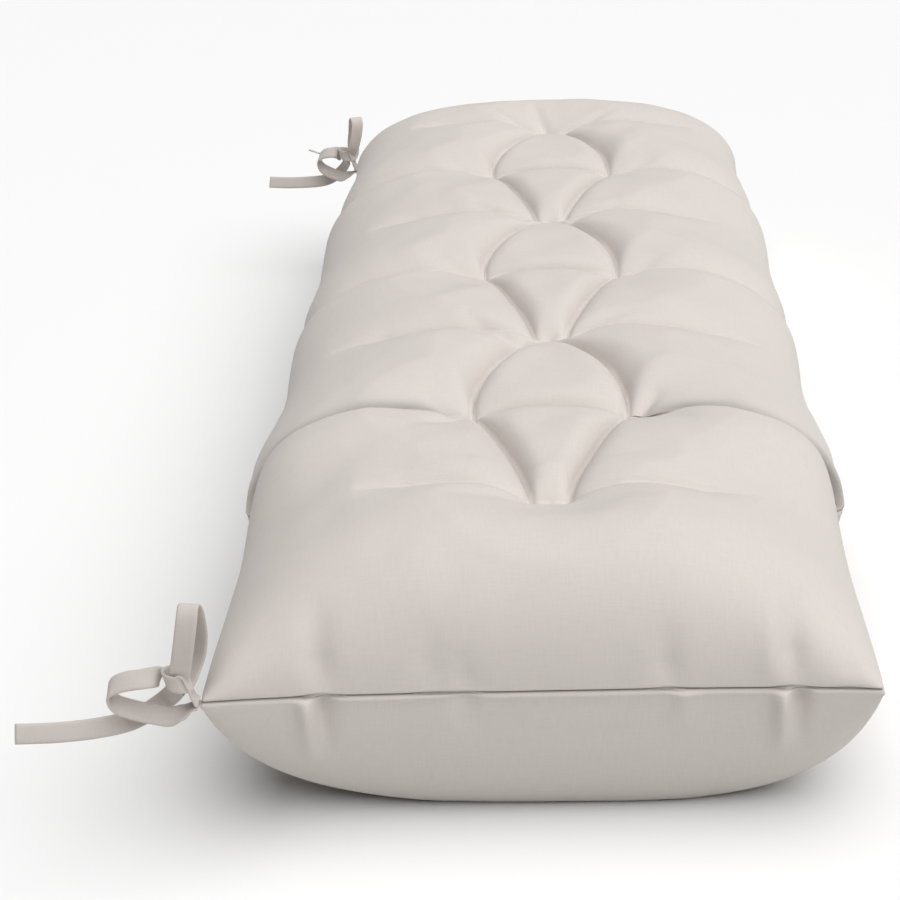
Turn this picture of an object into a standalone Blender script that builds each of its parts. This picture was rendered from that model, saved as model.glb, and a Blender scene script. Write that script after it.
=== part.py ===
"""Tufted bench cushion: one filled body sewn from a top and a bottom panel, drawn in
by ten tufts, with two tie strips bowed at each back corner.

Metres.  +X runs along the bench, +Y is the back edge that carries the ties, +Z is up.
The origin is on the face it rests on, under the middle."""
from collections import namedtuple

import bpy
import numpy as np

# ---------------------------------------------------------------- sizes, metres
SEAM_LENGTH = 1.114        # corner to corner along the bench
SEAM_WIDTH = 0.400         # corner to corner across
SEAM_HEIGHT = 0.096        # the seam above the face it rests on
CROWN = 0.090              # the top panel above the seam
BELLY = 0.103              # the bottom panel below the seam, before the rest flattens it
BELLY_SWELL = 1.06         # how full the bottom panel's section stands
BELLY_LEAN = 0.05          # how much deeper the fill has settled towards the front edge
END_ROLL_TOP = 0.084       # length over which each end rises to the crown
END_ROLL_BELLY = 0.054
TUFT_DEPTH = 0.045         # how far a tuft is pulled below the crown
TUFT_REACH = 0.054         # radius of the dimple round a tuft
TUFT_ASIDE = 0.0544        # a paired tuft from the line of lone tufts
TUFT_SHIFT = -0.006        # that line stands a little forward of the middle
UNDER_TUFT_DEPTH = 0.016   # the same stitches from underneath
UNDER_TUFT_REACH = 0.034
PIN_ROUND = 0.009          # softens the bottom of every crease
DIAMOND_ROUND = 0.008      # and of those between two tufts
EAR = 0.006                # how far an end seam is drawn in between its corners
SIDE_PULL = 0.003          # how far a side seam is drawn in beside a pair of tufts
STRIP_WIDTH = 0.0122
STRIP_THICK = 0.0018
SEAM_GAP = 0.00055         # a strip's sewn end stands this far off the seam corner

# the grid the two panels are shaped on
END_STEPS, ROW_STEPS, SIDE_STEPS, PAIR_STEPS = 10, 12, 19, 7
LONE_CROWDING = 0.42       # how much closer the lines stand just before a lone tuft

# One line for each row of tufts, from the photo's near end.  along: from the middle, as a
# share of the length; aside: tufts off the middle line; swell: how full the section stands,
# before and past the row; bulge: how far the side stands out over the seam, the same two
Row = namedtuple("Row", "name along aside swell swell_past bulge bulge_past")
ROWS = (
    Row("c4", -0.384, 0.0, 0.10, 0.10, -0.006, -0.006),
    Row("p3", -0.256, TUFT_ASIDE, 1.38, 0.90, 0.000, 0.010),
    Row("c3", -0.128, 0.0, 0.40, 0.40, -0.004, -0.004),
    Row("p2", 0.000, TUFT_ASIDE, 0.90, 0.90, 0.008, 0.008),
    Row("c2", 0.128, 0.0, 0.40, 0.40, -0.004, -0.004),
    Row("p1", 0.256, TUFT_ASIDE, 0.95, 0.95, 0.008, 0.008),
    Row("c1", 0.384, 0.0, 0.75, 0.75, -0.004, -0.004),
)
ROW_SPAN, LEAD = 0.005, 0.030   # a row's own width, and how far before it its amounts hold
END_SWELL = (0.10, 0.90)   # fullness of the near and the far end
FAR_CROWN = 1.025          # the far end's crown against the near end's

# Creases that run from a tuft out over the side.  back: +1 towards the back edge; reach: where
# it ends, as a share of the way to the seam; run, side: depth halfway and at the side wall;
# sweep: how far its outer end curves towards the far end; near, far: its width on either side
Fold = namedtuple("Fold", "row back reach run side sweep near far")
FOLDS = (
    Fold("c4", +1, 0.62, 0.010, 0.000, +0.004, 0.034, 0.040),
    Fold("c4", -1, 0.62, 0.010, 0.000, -0.004, 0.034, 0.040),
    Fold("p3", +1, 1.00, 0.038, 0.022, -0.026, 0.034, 0.056),
    Fold("p3", -1, 1.00, 0.038, 0.022, -0.026, 0.040, 0.056),
    Fold("c3", +1, 0.85, 0.016, 0.000, +0.006, 0.046, 0.046),
    Fold("c3", -1, 0.80, 0.015, 0.000, +0.010, 0.046, 0.046),
    Fold("p2", +1, 1.00, 0.017, 0.009, +0.002, 0.040, 0.050),
    Fold("p2", -1, 1.00, 0.017, 0.009, +0.002, 0.040, 0.050),
    Fold("c2", +1, 0.80, 0.015, 0.000, +0.006, 0.044, 0.044),
    Fold("c2", -1, 0.75, 0.014, 0.000, +0.010, 0.044, 0.044),
    Fold("p1", +1, 1.00, 0.018, 0.009, +0.002, 0.040, 0.050),
    Fold("p1", -1, 1.00, 0.018, 0.009, +0.002, 0.040, 0.050),
    Fold("c1", +1, 0.70, 0.013, 0.000, +0.010, 0.040, 0.040),
    Fold("c1", -1, 0.70, 0.013, 0.000, +0.010, 0.040, 0.040),
)

# The depth of a crease between two tufts of neighbouring rows, and across a pair.  A side is the
# width of that flank of the crease, and how full it is: 2 is a quarter circle, 1 a plain slope.
Side = namedtuple("Side", "width full")
DIAMOND_MID, CROSS_MID = 0.023, 0.014
FAN_INSIDE, FAN_OUTSIDE = Side(0.056, 1.2), Side(0.038, 1.7)
DOME_INSIDE, DOME_OUTSIDE = Side(0.044, 1.5), Side(0.044, 1.5)
CROSS_SIDE, FULLNESS = Side(0.036, 1.5), 1.7
WALL_NARROWING = 0.8       # how much narrower a side crease is where it meets the seam
BOW_NEAR, BOW_FAR = -0.002, 0.020     # how far its near and far sides bow outward
MIDDLE_DIP, MIDDLE_HALF = 0.012, 0.085   # the tufted middle sits lower than the side pads

# Short gathers that stand across the end seams.  end: -1 the near end; across: from the
# middle line; up, down: how far each runs above and below the seam; deep: negative is a ridge
Gather = namedtuple("Gather", "end across up down deep half")
GATHERS = (
    Gather(-1, +0.131, 0.044, 0.000, 0.0045, 0.007),
    Gather(-1, +0.139, 0.000, 0.034, -0.0035, 0.006),
    Gather(-1, +0.127, 0.000, 0.030, 0.0040, 0.006),
    Gather(-1, +0.065, 0.034, 0.000, 0.0020, 0.007),
    Gather(-1, +0.046, 0.030, 0.022, 0.0018, 0.007),
    Gather(-1, -0.073, 0.036, 0.000, 0.0030, 0.007),
    Gather(-1, -0.083, 0.034, 0.026, -0.0020, 0.007),
    Gather(-1, -0.145, 0.048, 0.000, 0.0060, 0.008),
    Gather(-1, -0.136, 0.046, 0.000, -0.0035, 0.007),
    Gather(-1, -0.141, 0.000, 0.034, -0.0040, 0.007),
    Gather(+1, +0.128, 0.044, 0.030, 0.0045, 0.008),
    Gather(+1, +0.052, 0.032, 0.022, 0.0022, 0.008),
    Gather(+1, -0.070, 0.036, 0.026, 0.0030, 0.008),
    Gather(+1, -0.139, 0.044, 0.032, 0.0050, 0.008),
)

# Stations of each tie strip from its seam corner, in mm.  out: away from the back edge;
# fore: towards the near end; up; then the way the strip's width lies, in the same three.
Bend = namedtuple("Bend", "out fore up w_out w_fore w_up")
STEM = (
    Bend(0.3, 0.0, 1.25, 0.0, 1.0, 0.0),
    Bend(1.6, 0.0, 2.4, 0.0, 1.0, 0.0),
    Bend(3.0, 1.0, 6.5, 0.0, 0.9, 0.3),
    Bend(4.5, 2.0, 13.0, 0.0, 0.9, 0.4),
    Bend(7.0, 3.0, 20.0, 0.1, 0.9, 0.4),
    Bend(10.5, 3.0, 22.0, 0.3, 0.9, 0.2),
)
UPRIGHT = (
    Bend(10.5, 4.0, 15.0, 1.0, 0.0, 0.1),
    Bend(7.0, 7.0, 28.0, 1.0, 0.0, 0.1),
    Bend(3.5, 9.0, 44.0, 1.0, 0.0, 0.0),
    Bend(0.8, 7.5, 59.0, 1.0, 0.0, 0.0),
    Bend(-0.2, 2.0, 65.6, 1.0, -0.1, 0.0),
    Bend(-1.4, -4.5, 60.0, 1.0, -0.3, 0.0),
    Bend(-2.2, -9.5, 44.0, 0.9, -0.5, 0.0),
    Bend(-0.4, -9.5, 29.0, 0.8, -0.5, 0.0),
    Bend(5.0, -4.0, 17.0, 0.9, -0.3, 0.0),
    Bend(9.0, 1.0, 11.0, 1.0, 0.0, 0.0),
)
LONG_END = (
    Bend(11.0, 1.0, 12.0, 0.6, -0.4, 0.7),
    Bend(16.0, -6.0, 4.0, 0.5, -0.5, 0.8),
    Bend(24.0, -11.0, -5.0, 0.3, -0.5, 0.9),
    Bend(34.0, -11.0, -12.0, 0.1, -0.5, 0.9),
    Bend(46.0, -7.0, -15.5, 0.0, -0.5, 0.9),
    Bend(64.0, -2.0, -16.5, 0.0, -0.5, 0.9),
    Bend(86.0, 0.0, -17.5, 0.0, -0.5, 0.9),
    Bend(109.5, 0.0, -18.0, 0.0, -0.5, 0.9),
)
ROUND_LOOP = (
    Bend(0.1, 0.0, -0.95, 0.0, 1.0, 0.0),
    Bend(4.0, 0.0, -1.9, 0.0, 1.0, 0.0),
    Bend(10.0, 2.0, -4.5, 0.4, 0.8, -0.5),
    Bend(17.0, 2.0, -7.0, 0.2, 0.7, -0.7),
    Bend(26.0, 1.0, -6.0, 0.0, 0.7, -0.7),
    Bend(37.0, 0.5, -3.5, 0.0, 0.7, -0.7),
    Bend(47.0, 1.0, 1.0, 0.0, 0.8, -0.6),
    Bend(51.3, 2.0, 7.5, 0.0, 0.9, -0.4),
    Bend(49.0, 3.0, 14.0, 0.0, 0.8, -0.6),
    Bend(41.0, 4.0, 18.0, 0.0, 0.7, -0.7),
    Bend(31.0, 4.0, 19.5, 0.0, 0.7, -0.7),
    Bend(23.5, 1.0, 19.0, 0.1, 0.6, -0.8),
    Bend(22.0, -5.5, 15.0, 0.4, 0.2, -0.8),
    Bend(25.5, -10.0, 13.5, 0.2, -0.2, -0.9),
)
SHORT_END_NEAR = (
    Bend(30.0, -11.0, 12.0, 0.0, -0.3, -0.9),
    Bend(37.0, -11.0, 10.5, 0.0, -0.3, -0.9),
    Bend(44.0, -10.0, 10.5, 0.0, -0.3, -0.9),
)
SHORT_END_FAR = (
    Bend(31.0, -11.5, 13.5, 0.0, -0.5, -0.8),
    Bend(42.0, -10.5, 13.0, 0.0, -0.9, -0.4),
    Bend(56.0, -7.0, 18.0, 0.0, -0.9, -0.4),
)
KNOT_CENTRE, KNOT_SIZE = (11.0, 2.5, 18.0), (15.0, 11.0, 13.5)

# One line for each bow.  end: -1 the near corner; turn: swung about the upright, degrees;
# tall, round, tail: the upright loop, the round loop and the long free end against the tables
# above; twist: the upright loop turned on its own axis, degrees
Bow = namedtuple("Bow", "name end turn tall twist round tail short")
BOWS = (
    Bow("near", -1, 0.0, 1.00, 0.0, 1.00, 1.00, SHORT_END_NEAR),
    Bow("far", +1, 14.0, 0.82, -42.0, 0.74, 0.90, SHORT_END_FAR),
)

CANVAS = (0.66, 0.62, 0.58, 1.0)


# ---------------------------------------------------------------- scene
def clear_scene():
    for obj in list(bpy.data.objects):
        bpy.data.objects.remove(obj, do_unlink=True)
    for block in list(bpy.data.meshes):
        bpy.data.meshes.remove(block)


def new_collection(name):
    group = bpy.data.collections.new(name)
    bpy.context.scene.collection.children.link(group)
    return group


def move_to(obj, group):
    for old in list(obj.users_collection):
        old.objects.unlink(obj)
    group.objects.link(obj)


def canvas(name, shade):
    """A matt cotton canvas; shade lightens or darkens the base colour."""
    mat = bpy.data.materials.new(name)
    mat.use_nodes = True
    node = mat.node_tree.nodes["Principled BSDF"]
    node.inputs["Base Color"].default_value = [min(1.0, c * shade) for c in CANVAS[:3]] + [1.0]
    node.inputs["Roughness"].default_value = 0.9
    return mat


# ---------------------------------------------------------------- the filled body
def row_at(row):
    return row.along * SEAM_LENGTH


def along_stations():
    """Distances along the bench, closer at the ends and on the near side of a lone tuft."""
    half = SEAM_LENGTH / 2
    rows = [row_at(r) for r in ROWS]
    near = -half + (rows[0] + half) * (1 - np.cos(np.linspace(0, np.pi / 2, END_STEPS + 1)))
    stations = list(near)
    for left, right, there in zip(rows[:-1], rows[1:], ROWS[1:]):
        t = np.linspace(0, 1, ROW_STEPS + 1)[1:]
        crowding = 0.0 if there.aside else LONE_CROWDING
        stations += list(left + (right - left) * (t + crowding * t * (1 - t)))
    stations += list(half - (near[:-1][::-1] + half))
    return np.array(stations)


def side_stations():
    """Shares of the half width: close in the tufted middle, then even along the section."""
    share = np.linspace(0, 1, 4001)
    across, rise = share * SEAM_WIDTH / 2, CROWN * section(share, 0.8)
    length = np.concatenate([[0], np.cumsum(np.hypot(np.diff(across), np.diff(rise)))])
    pair = np.interp(TUFT_ASIDE, across, length)
    outer = np.linspace(pair, length[-1], SIDE_STEPS - PAIR_STEPS + 1)[1:]
    steps = np.interp(np.concatenate([np.linspace(0, pair, PAIR_STEPS + 1), outer]),
                      length, share)
    shares = np.concatenate([-steps[:0:-1], steps])
    return shares + TUFT_SHIFT / (SEAM_WIDTH / 2) * (1 - np.abs(shares) ** 2)


def crease_aside(x):
    """How far off the middle line the crease between two tufts lies, at each x."""
    out = np.zeros_like(x)
    for here, there in zip(ROWS[:-1], ROWS[1:]):
        lone, pair = (here, there) if here.aside == 0 else (there, here)
        bow = BOW_NEAR if lone is here else -BOW_FAR
        run = np.array([row_at(pair) - row_at(lone), pair.aside])
        left = np.array([-run[1], run[0]]) / np.hypot(*run)
        t = np.linspace(0, 1, 201)[:, None]
        line = (row_at(lone), 0.0) + run * t + left * bow * 4 * t * (1 - t)
        line = line[np.argsort(line[:, 0])]
        within = (x >= row_at(here) - 1e-9) & (x <= row_at(there) + 1e-9)
        out[within] = np.interp(x[within], line[:, 0], line[:, 1])
    return out


def onto_creases(xs, shares):
    """The grid's shares at each x, with the nearest line on each side moved onto its crease."""
    grid = np.tile(shares, (len(xs), 1))
    middle = len(shares) // 2
    for line, aside in zip(grid, crease_aside(xs)):
        for side in (-1, 1):
            at = (TUFT_SHIFT + side * aside) / (SEAM_WIDTH / 2)
            nearest = np.argmin(np.abs(line - at))
            if nearest != middle:
                line[nearest] = at
    return grid


def section(share, swell):
    """Height of the section at a share of the half width, for a slim or a full side."""
    share = np.clip(np.abs(share), 0, 1)
    slim = (1 - share ** 2.4) ** 0.65
    full = (1 - share ** 3.0) ** 0.40
    return slim + (full - slim) * swell


def end_roll(x, reach):
    """Rises from 0 at an end seam to 1 as a quarter ellipse of the given reach."""
    inward = np.clip((SEAM_LENGTH / 2 - np.abs(x)) / reach, 0, 1)
    return np.sqrt(np.clip(1 - (1 - inward) ** 2, 0, 1))


def unswept(x, share):
    """Where a point would stand along the bench if every side crease ran straight out."""
    out = x.copy()
    for fold in FOLDS:
        row = next(r for r in ROWS if r.name == fold.row)
        past = (share * fold.back * SEAM_WIDTH / 2 - row.aside) / (SEAM_WIDTH / 2 - row.aside)
        near = np.clip(1 - np.abs(x - row_at(row)) / 0.12, 0, 1)
        out -= fold.sweep * np.clip(past, 0, 1) ** 2 * near
    return out


def between_rows(x, ends, before, past):
    """Smooth steps (3t^2 - 2t^3) between the amounts named before and past each row."""
    half = SEAM_LENGTH / 2
    where, amount = [-half], [ends[0]]
    for row, a, b in zip(ROWS, before, past):
        lead = LEAD if a != b else 0.0
        where += [row_at(row) - ROW_SPAN - lead, row_at(row) - ROW_SPAN, row_at(row) + ROW_SPAN]
        amount += [a, a, b]
    where, amount = np.array(where + [half]), np.array(amount + [ends[1]])
    k = np.clip(np.searchsorted(where, x, side="right") - 1, 0, len(where) - 2)
    t = (x - where[k]) / np.maximum(where[k + 1] - where[k], 1e-9)
    return amount[k] + (amount[k + 1] - amount[k]) * (3 * t ** 2 - 2 * t ** 3)


def crease_shape(distance, half, rounding=PIN_ROUND, full=FULLNESS):
    """1 in the crease, falling as a quarter super-ellipse to 0 at its width: full pads meet."""
    soft = np.sqrt(distance ** 2 + rounding ** 2) - rounding
    return 1 - (1 - (1 - np.clip(soft / half, 0, 1)) ** full) ** (1 / full)


def tufts():
    """Every tuft as (row, x, y)."""
    places = []
    for row in ROWS:
        for y in ([0.0] if row.aside == 0 else [-row.aside, row.aside]):
            places.append((row, row_at(row), y + TUFT_SHIFT))
    return places


def line_dent(x, y, start, end, bow, middle, left, right):
    """Dent of a crease between two tufts, bowed sideways, shallower in its middle."""
    a, b = np.array(start), np.array(end)
    run = b - a
    span = np.hypot(*run)
    t = ((x - a[0]) * run[0] + (y - a[1]) * run[1]) / span ** 2
    inside = np.clip(t, 0, 1)
    aside = ((y - a[1]) * run[0] - (x - a[0]) * run[1]) / span - bow * 4 * inside * (1 - inside)
    away = np.hypot(aside, (t - inside) * span)
    depth = TUFT_DEPTH + (middle - TUFT_DEPTH) * np.sin(np.pi * inside) ** 0.7
    width, full = [np.where(aside > 0, a, b) for a, b in zip(left, right)]
    return depth * crease_shape(away, width, DIAMOND_ROUND, full)


def side_dent(x, y, fold):
    """Dent of a crease from a tuft out over the side."""
    row = next(r for r in ROWS if r.name == fold.row)
    room = SEAM_WIDTH / 2 - row.aside
    t = np.clip((y * fold.back - row.aside) / room, -1, 1)
    past = np.clip(t, 0, 1)
    depth = np.interp(past / fold.reach, [0, 0.15, 0.35, 0.75, 1],
                      [TUFT_DEPTH, (TUFT_DEPTH + fold.run) / 2, fold.run, fold.run * 0.85,
                       fold.side])
    line = row_at(row) + fold.sweep * past ** 2
    away = np.hypot(x - line, np.clip(-t, 0, 1) * room)
    width = np.where(x > line, fold.far, fold.near)
    width = width * np.interp(past, [0, 0.6, 1], [1, 0.9, WALL_NARROWING])
    return depth * crease_shape(away, width) * (past <= fold.reach)


def top_dent(x, y):
    """How deep the top panel is drawn in below its smooth crown."""
    dents = [TUFT_DEPTH * crease_shape(np.hypot(x - tx, y - ty), TUFT_REACH)
             for _, tx, ty in tufts()]
    y = y - TUFT_SHIFT
    for here, there in zip(ROWS[:-1], ROWS[1:]):
        lone, pair = (here, there) if here.aside == 0 else (there, here)
        bow = BOW_NEAR if lone is here else -BOW_FAR
        for sign in (-1, 1):
            hands = (FAN_OUTSIDE, FAN_INSIDE) if lone is here else (DOME_INSIDE, DOME_OUTSIDE)
            hands = hands if sign > 0 else hands[::-1]
            dents.append(line_dent(x, y, (row_at(lone), 0.0), (row_at(pair), sign * pair.aside),
                                   bow * sign, DIAMOND_MID, *hands))
    for row in ROWS:
        if row.aside:
            dents.append(line_dent(x, y, (row_at(row), -row.aside), (row_at(row), row.aside),
                                   0.0, CROSS_MID, CROSS_SIDE, CROSS_SIDE))
    first, last = row_at(ROWS[0]), row_at(ROWS[-1])
    within = np.clip((x - first) / 0.04, 0, 1) * np.clip((last - x) / 0.04, 0, 1)
    dents.append(MIDDLE_DIP * within * np.cos(np.pi / 2 * np.clip(y / MIDDLE_HALF, -1, 1)))
    dents += [side_dent(x, y, fold) for fold in FOLDS]
    return np.sum(np.array(dents) ** 4, axis=0) ** 0.25


def under_dent(x, y):
    """The same stitches seen from underneath: a small dimple at each."""
    dents = [UNDER_TUFT_DEPTH * crease_shape(np.hypot(x - tx, y - ty), UNDER_TUFT_REACH)
             for _, tx, ty in tufts()]
    return np.max(np.array(dents), axis=0)


def gather_dent(x, y, height, above):
    """Short upright dents and ridges beside the end seams."""
    total = np.zeros_like(x)
    inward = SEAM_LENGTH / 2 - np.abs(x)
    for g in GATHERS:
        run = g.up if above else g.down
        if run == 0:
            continue
        beside = np.exp(-((y - g.across) / g.half) ** 2)
        fade = np.clip(1 - np.hypot(inward, height) / run, 0, 1) ** 0.5
        total += g.deep * beside * fade * (np.sign(x) == g.end)
    return total


def seam_line(x, y, share):
    """Draws the seam in a little between two corners, and more beside each pair of tufts."""
    half = SEAM_LENGTH / 2
    x_in = EAR * (1 - share ** 4) * (np.abs(x) / half) ** 12
    pulls = [np.exp(-((x - row_at(r)) / 0.020) ** 2) for r in ROWS if r.aside]
    y_in = SIDE_PULL * np.sum(pulls, axis=0) * np.abs(share) ** 8
    return x - np.sign(x) * x_in, y - np.sign(y) * y_in


def panel(x, share, above):
    """Points of one panel over its grid: the smooth shape, then drawn in along its normal."""
    half = SEAM_WIDTH / 2
    y = share * half
    straight = unswept(x, share)
    if above:
        fall = np.interp(x, [0.0, SEAM_LENGTH / 2], [1.0, FAR_CROWN])
        swell = between_rows(straight, END_SWELL, [r.swell for r in ROWS],
                             [r.swell_past for r in ROWS])
        level = end_roll(x, END_ROLL_TOP) * section(share, swell)
        height = CROWN * fall * level
    else:
        level = end_roll(x, END_ROLL_BELLY) * section(share, BELLY_SWELL)
        height = BELLY * level * (1 - BELLY_LEAN * share)
    bulge = between_rows(straight, (0.0, 0.0), [r.bulge for r in ROWS],
                         [r.bulge_past for r in ROWS])
    y = y + np.sign(share) * bulge * np.sin(np.pi * np.clip(level, 0, 1)) * np.abs(share) ** 4
    points = np.stack([*seam_line(x, y, share), height], -1)
    du, dv = np.gradient(points, axis=0), np.gradient(points, axis=1)
    normal = np.cross(du, dv)
    normal /= np.linalg.norm(normal, axis=-1, keepdims=True) + 1e-12
    edge = np.clip(level, 0, 1) ** 0.35
    dent = (top_dent(x, y) if above else under_dent(x, y)) * edge
    on_seam = (np.abs(share) > 1 - 1e-9) | (np.abs(x) > SEAM_LENGTH / 2 - 1e-9)
    dent = np.where(on_seam, 0.0, dent + gather_dent(x, y, height, above))
    points = points - normal * dent[..., None]
    points[..., 2] = np.where(on_seam, 0.0, np.maximum(points[..., 2], 0.0004))
    if not above:
        points[..., 2] = -points[..., 2]
    points[..., 2] = np.maximum(points[..., 2] + SEAM_HEIGHT, 0.0)
    return points


def shaped_grid(name, above):
    xs, shares = along_stations(), side_stations()
    bpy.ops.mesh.primitive_grid_add(x_subdivisions=len(xs) - 1, y_subdivisions=len(shares) - 1,
                                    size=2.0)
    obj = bpy.context.active_object
    obj.name = obj.data.name = name
    x, share = np.repeat(xs[:, None], len(shares), axis=1), onto_creases(xs, shares)
    points = panel(x, share, above)
    flat = np.empty(len(obj.data.vertices) * 3)
    obj.data.vertices.foreach_get("co", flat)
    flat = flat.reshape(-1, 3)
    i = np.rint((flat[:, 0] + 1) / 2 * (len(xs) - 1)).astype(int)
    j = np.rint((flat[:, 1] + 1) / 2 * (len(shares) - 1)).astype(int)
    obj.data.vertices.foreach_set("co", points[i, j].ravel())
    if above:
        split_along_valleys(obj)
    else:
        obj.data.flip_normals()
    obj.data.update()
    return obj


def split_along_valleys(obj):
    """Cuts the tufted faces in two, each along its lower diagonal, so the creases run true."""
    points = [v.co for v in obj.data.vertices]
    reach = row_at(ROWS[-1]) + TUFT_REACH
    first, second = [], []
    for face in obj.data.polygons:
        a, b, c, d = [points[k] for k in face.vertices]
        tufted = abs(face.center.x) < reach and abs(face.center.y - TUFT_SHIFT) < MIDDLE_HALF
        first.append(tufted and a.z + c.z < b.z + d.z)
        second.append(tufted and a.z + c.z >= b.z + d.z)
    for chosen, method in ((first, "FIXED"), (second, "FIXED_ALTERNATE")):
        chosen += [False] * (len(obj.data.polygons) - len(chosen))
        select_faces(obj, chosen)
        bpy.ops.object.mode_set(mode="EDIT")
        bpy.ops.mesh.quads_convert_to_tris(quad_method=method)
        bpy.ops.object.mode_set(mode="OBJECT")


def select_faces(obj, chosen):
    bpy.ops.object.select_all(action="DESELECT")
    obj.select_set(True)
    bpy.context.view_layer.objects.active = obj
    bpy.ops.object.mode_set(mode="EDIT")
    bpy.ops.mesh.select_all(action="DESELECT")
    bpy.ops.object.mode_set(mode="OBJECT")
    obj.data.polygons.foreach_set("select", chosen)


def merge_flat(obj):
    """Merges the faces that lie on the resting plane."""
    select_faces(obj, [all(obj.data.vertices[v].co.z < 1e-7 for v in face.vertices)
                       for face in obj.data.polygons])
    bpy.ops.object.mode_set(mode="EDIT")
    bpy.ops.mesh.dissolve_limited(angle_limit=np.radians(0.01), use_dissolve_boundaries=False)
    bpy.ops.object.mode_set(mode="OBJECT")


def build_body(group):
    top, bottom = shaped_grid("cushion", True), shaped_grid("under", False)
    merge_flat(bottom)
    bpy.ops.object.select_all(action="DESELECT")
    top.select_set(True)
    bottom.select_set(True)
    bpy.context.view_layer.objects.active = top
    bpy.ops.object.join()
    weld = top.modifiers.new("seam weld", "WELD")
    weld.merge_threshold = 0.0001
    bpy.ops.object.modifier_apply(modifier=weld.name)
    for face in top.data.polygons:
        face.use_smooth = True
    top.data.materials.append(canvas("cushion canvas", 1.0))
    move_to(top, group)
    return top


# ---------------------------------------------------------------- the tie strips
def smooth_path(rows, steps):
    """Catmull-Rom curve through the table's stations; steps between each two."""
    table = np.array(rows, dtype=float)
    padded = np.vstack([2 * table[0] - table[1], table, 2 * table[-1] - table[-2]])
    out = []
    for k in range(1, len(padded) - 2):
        a, b, c, d = padded[k - 1:k + 3]
        t = np.linspace(0, 1, steps, endpoint=False)[:, None]
        out.append(0.5 * (2 * b + (c - a) * t + (2 * a - 5 * b + 4 * c - d) * t ** 2
                          + (3 * b - a - 3 * c + d) * t ** 3))
    out.append(padded[-2][None])
    return np.vstack(out)


def to_frame(local, bow):
    """From a corner's own out, fore, up in mm to the cushion's frame."""
    swing = np.radians(bow.turn)
    out = local[..., 0] * np.cos(swing) + local[..., 1] * np.sin(swing)
    fore = local[..., 1] * np.cos(swing) - local[..., 0] * np.sin(swing)
    return np.stack([-fore, out, local[..., 2]], -1) / 1000.0


def corner(bow):
    return np.array([bow.end * SEAM_LENGTH / 2, SEAM_WIDTH / 2 + SEAM_GAP, SEAM_HEIGHT])


def ribbon(name, rows, bow, steps=3):
    """A flat strip carried along the stations, then given its thickness."""
    path = smooth_path(rows, steps)
    centre, width = path[:, :3], path[:, 3:]
    tangent = np.gradient(centre, axis=0)
    tangent /= np.linalg.norm(tangent, axis=1, keepdims=True)
    width = width - tangent * np.sum(width * tangent, axis=1, keepdims=True)
    width /= np.linalg.norm(width, axis=1, keepdims=True)
    count = len(centre)
    bpy.ops.mesh.primitive_grid_add(x_subdivisions=count - 1, y_subdivisions=2, size=2.0)
    obj = bpy.context.active_object
    obj.name = obj.data.name = name
    flat = np.empty(len(obj.data.vertices) * 3)
    obj.data.vertices.foreach_get("co", flat)
    flat = flat.reshape(-1, 3)
    i = np.rint((flat[:, 0] + 1) / 2 * (count - 1)).astype(int)
    local = centre[i] + width[i] * flat[:, 1:2] * STRIP_WIDTH * 500
    obj.data.vertices.foreach_set("co", (to_frame(local, bow) + corner(bow)).ravel())
    body = obj.modifiers.new("cloth thickness", "SOLIDIFY")
    body.thickness, body.offset, body.use_even_offset = STRIP_THICK, 0.0, False
    bpy.context.view_layer.objects.active = obj
    bpy.ops.object.modifier_apply(modifier=body.name)
    return obj


def knot(name, bow):
    """The band wrapped round the middle of the bow."""
    bpy.ops.mesh.primitive_cube_add(size=1.0)
    obj = bpy.context.active_object
    obj.name = obj.data.name = name
    rounding = obj.modifiers.new("rounding", "BEVEL")
    rounding.width, rounding.segments, rounding.limit_method = 0.24, 3, "NONE"
    bpy.ops.object.modifier_apply(modifier=rounding.name)
    flat = np.empty(len(obj.data.vertices) * 3)
    obj.data.vertices.foreach_get("co", flat)
    local = flat.reshape(-1, 3) * KNOT_SIZE + KNOT_CENTRE
    obj.data.vertices.foreach_set("co", (to_frame(local, bow) + corner(bow)).ravel())
    obj.data.update()
    return obj


def fuse(base, others, cutters):
    for other in others:
        join = base.modifiers.new("join", "BOOLEAN")
        join.operation, join.solver, join.object = "UNION", "EXACT", other
        bpy.context.view_layer.objects.active = base
        bpy.ops.object.modifier_apply(modifier=join.name)
        move_to(other, cutters)
        other.display_type = "WIRE"
        other.hide_render = other.hide_viewport = True


def outward(obj):
    bpy.ops.object.select_all(action="DESELECT")
    obj.select_set(True)
    bpy.context.view_layer.objects.active = obj
    bpy.ops.object.mode_set(mode="EDIT")
    bpy.ops.mesh.select_all(action="SELECT")
    bpy.ops.mesh.normals_make_consistent(inside=False)
    bpy.ops.object.mode_set(mode="OBJECT")


def upright_loop(bow):
    """The upright loop at this bow's height, turned about a line through its knot."""
    rows = []
    for b in UPRIGHT:
        share = min(1.0, max(0.0, (b.up - 15) / 12))
        angle = np.radians(bow.twist) * share
        cos, sin = np.cos(angle), np.sin(angle)
        out, fore = b.out - 4, b.fore
        rows.append(Bend(4 + out * cos + fore * sin, fore * cos - out * sin,
                         15 + (b.up - 15) * bow.tall if b.up > 15 else b.up,
                         b.w_out * cos + b.w_fore * sin, b.w_fore * cos - b.w_out * sin, b.w_up))
    return rows


def longer(rows, start, share):
    """The stations past a start lengthened or shortened along the out direction."""
    return [b._replace(out=start + (b.out - start) * share) if b.out > start else b for b in rows]


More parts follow.
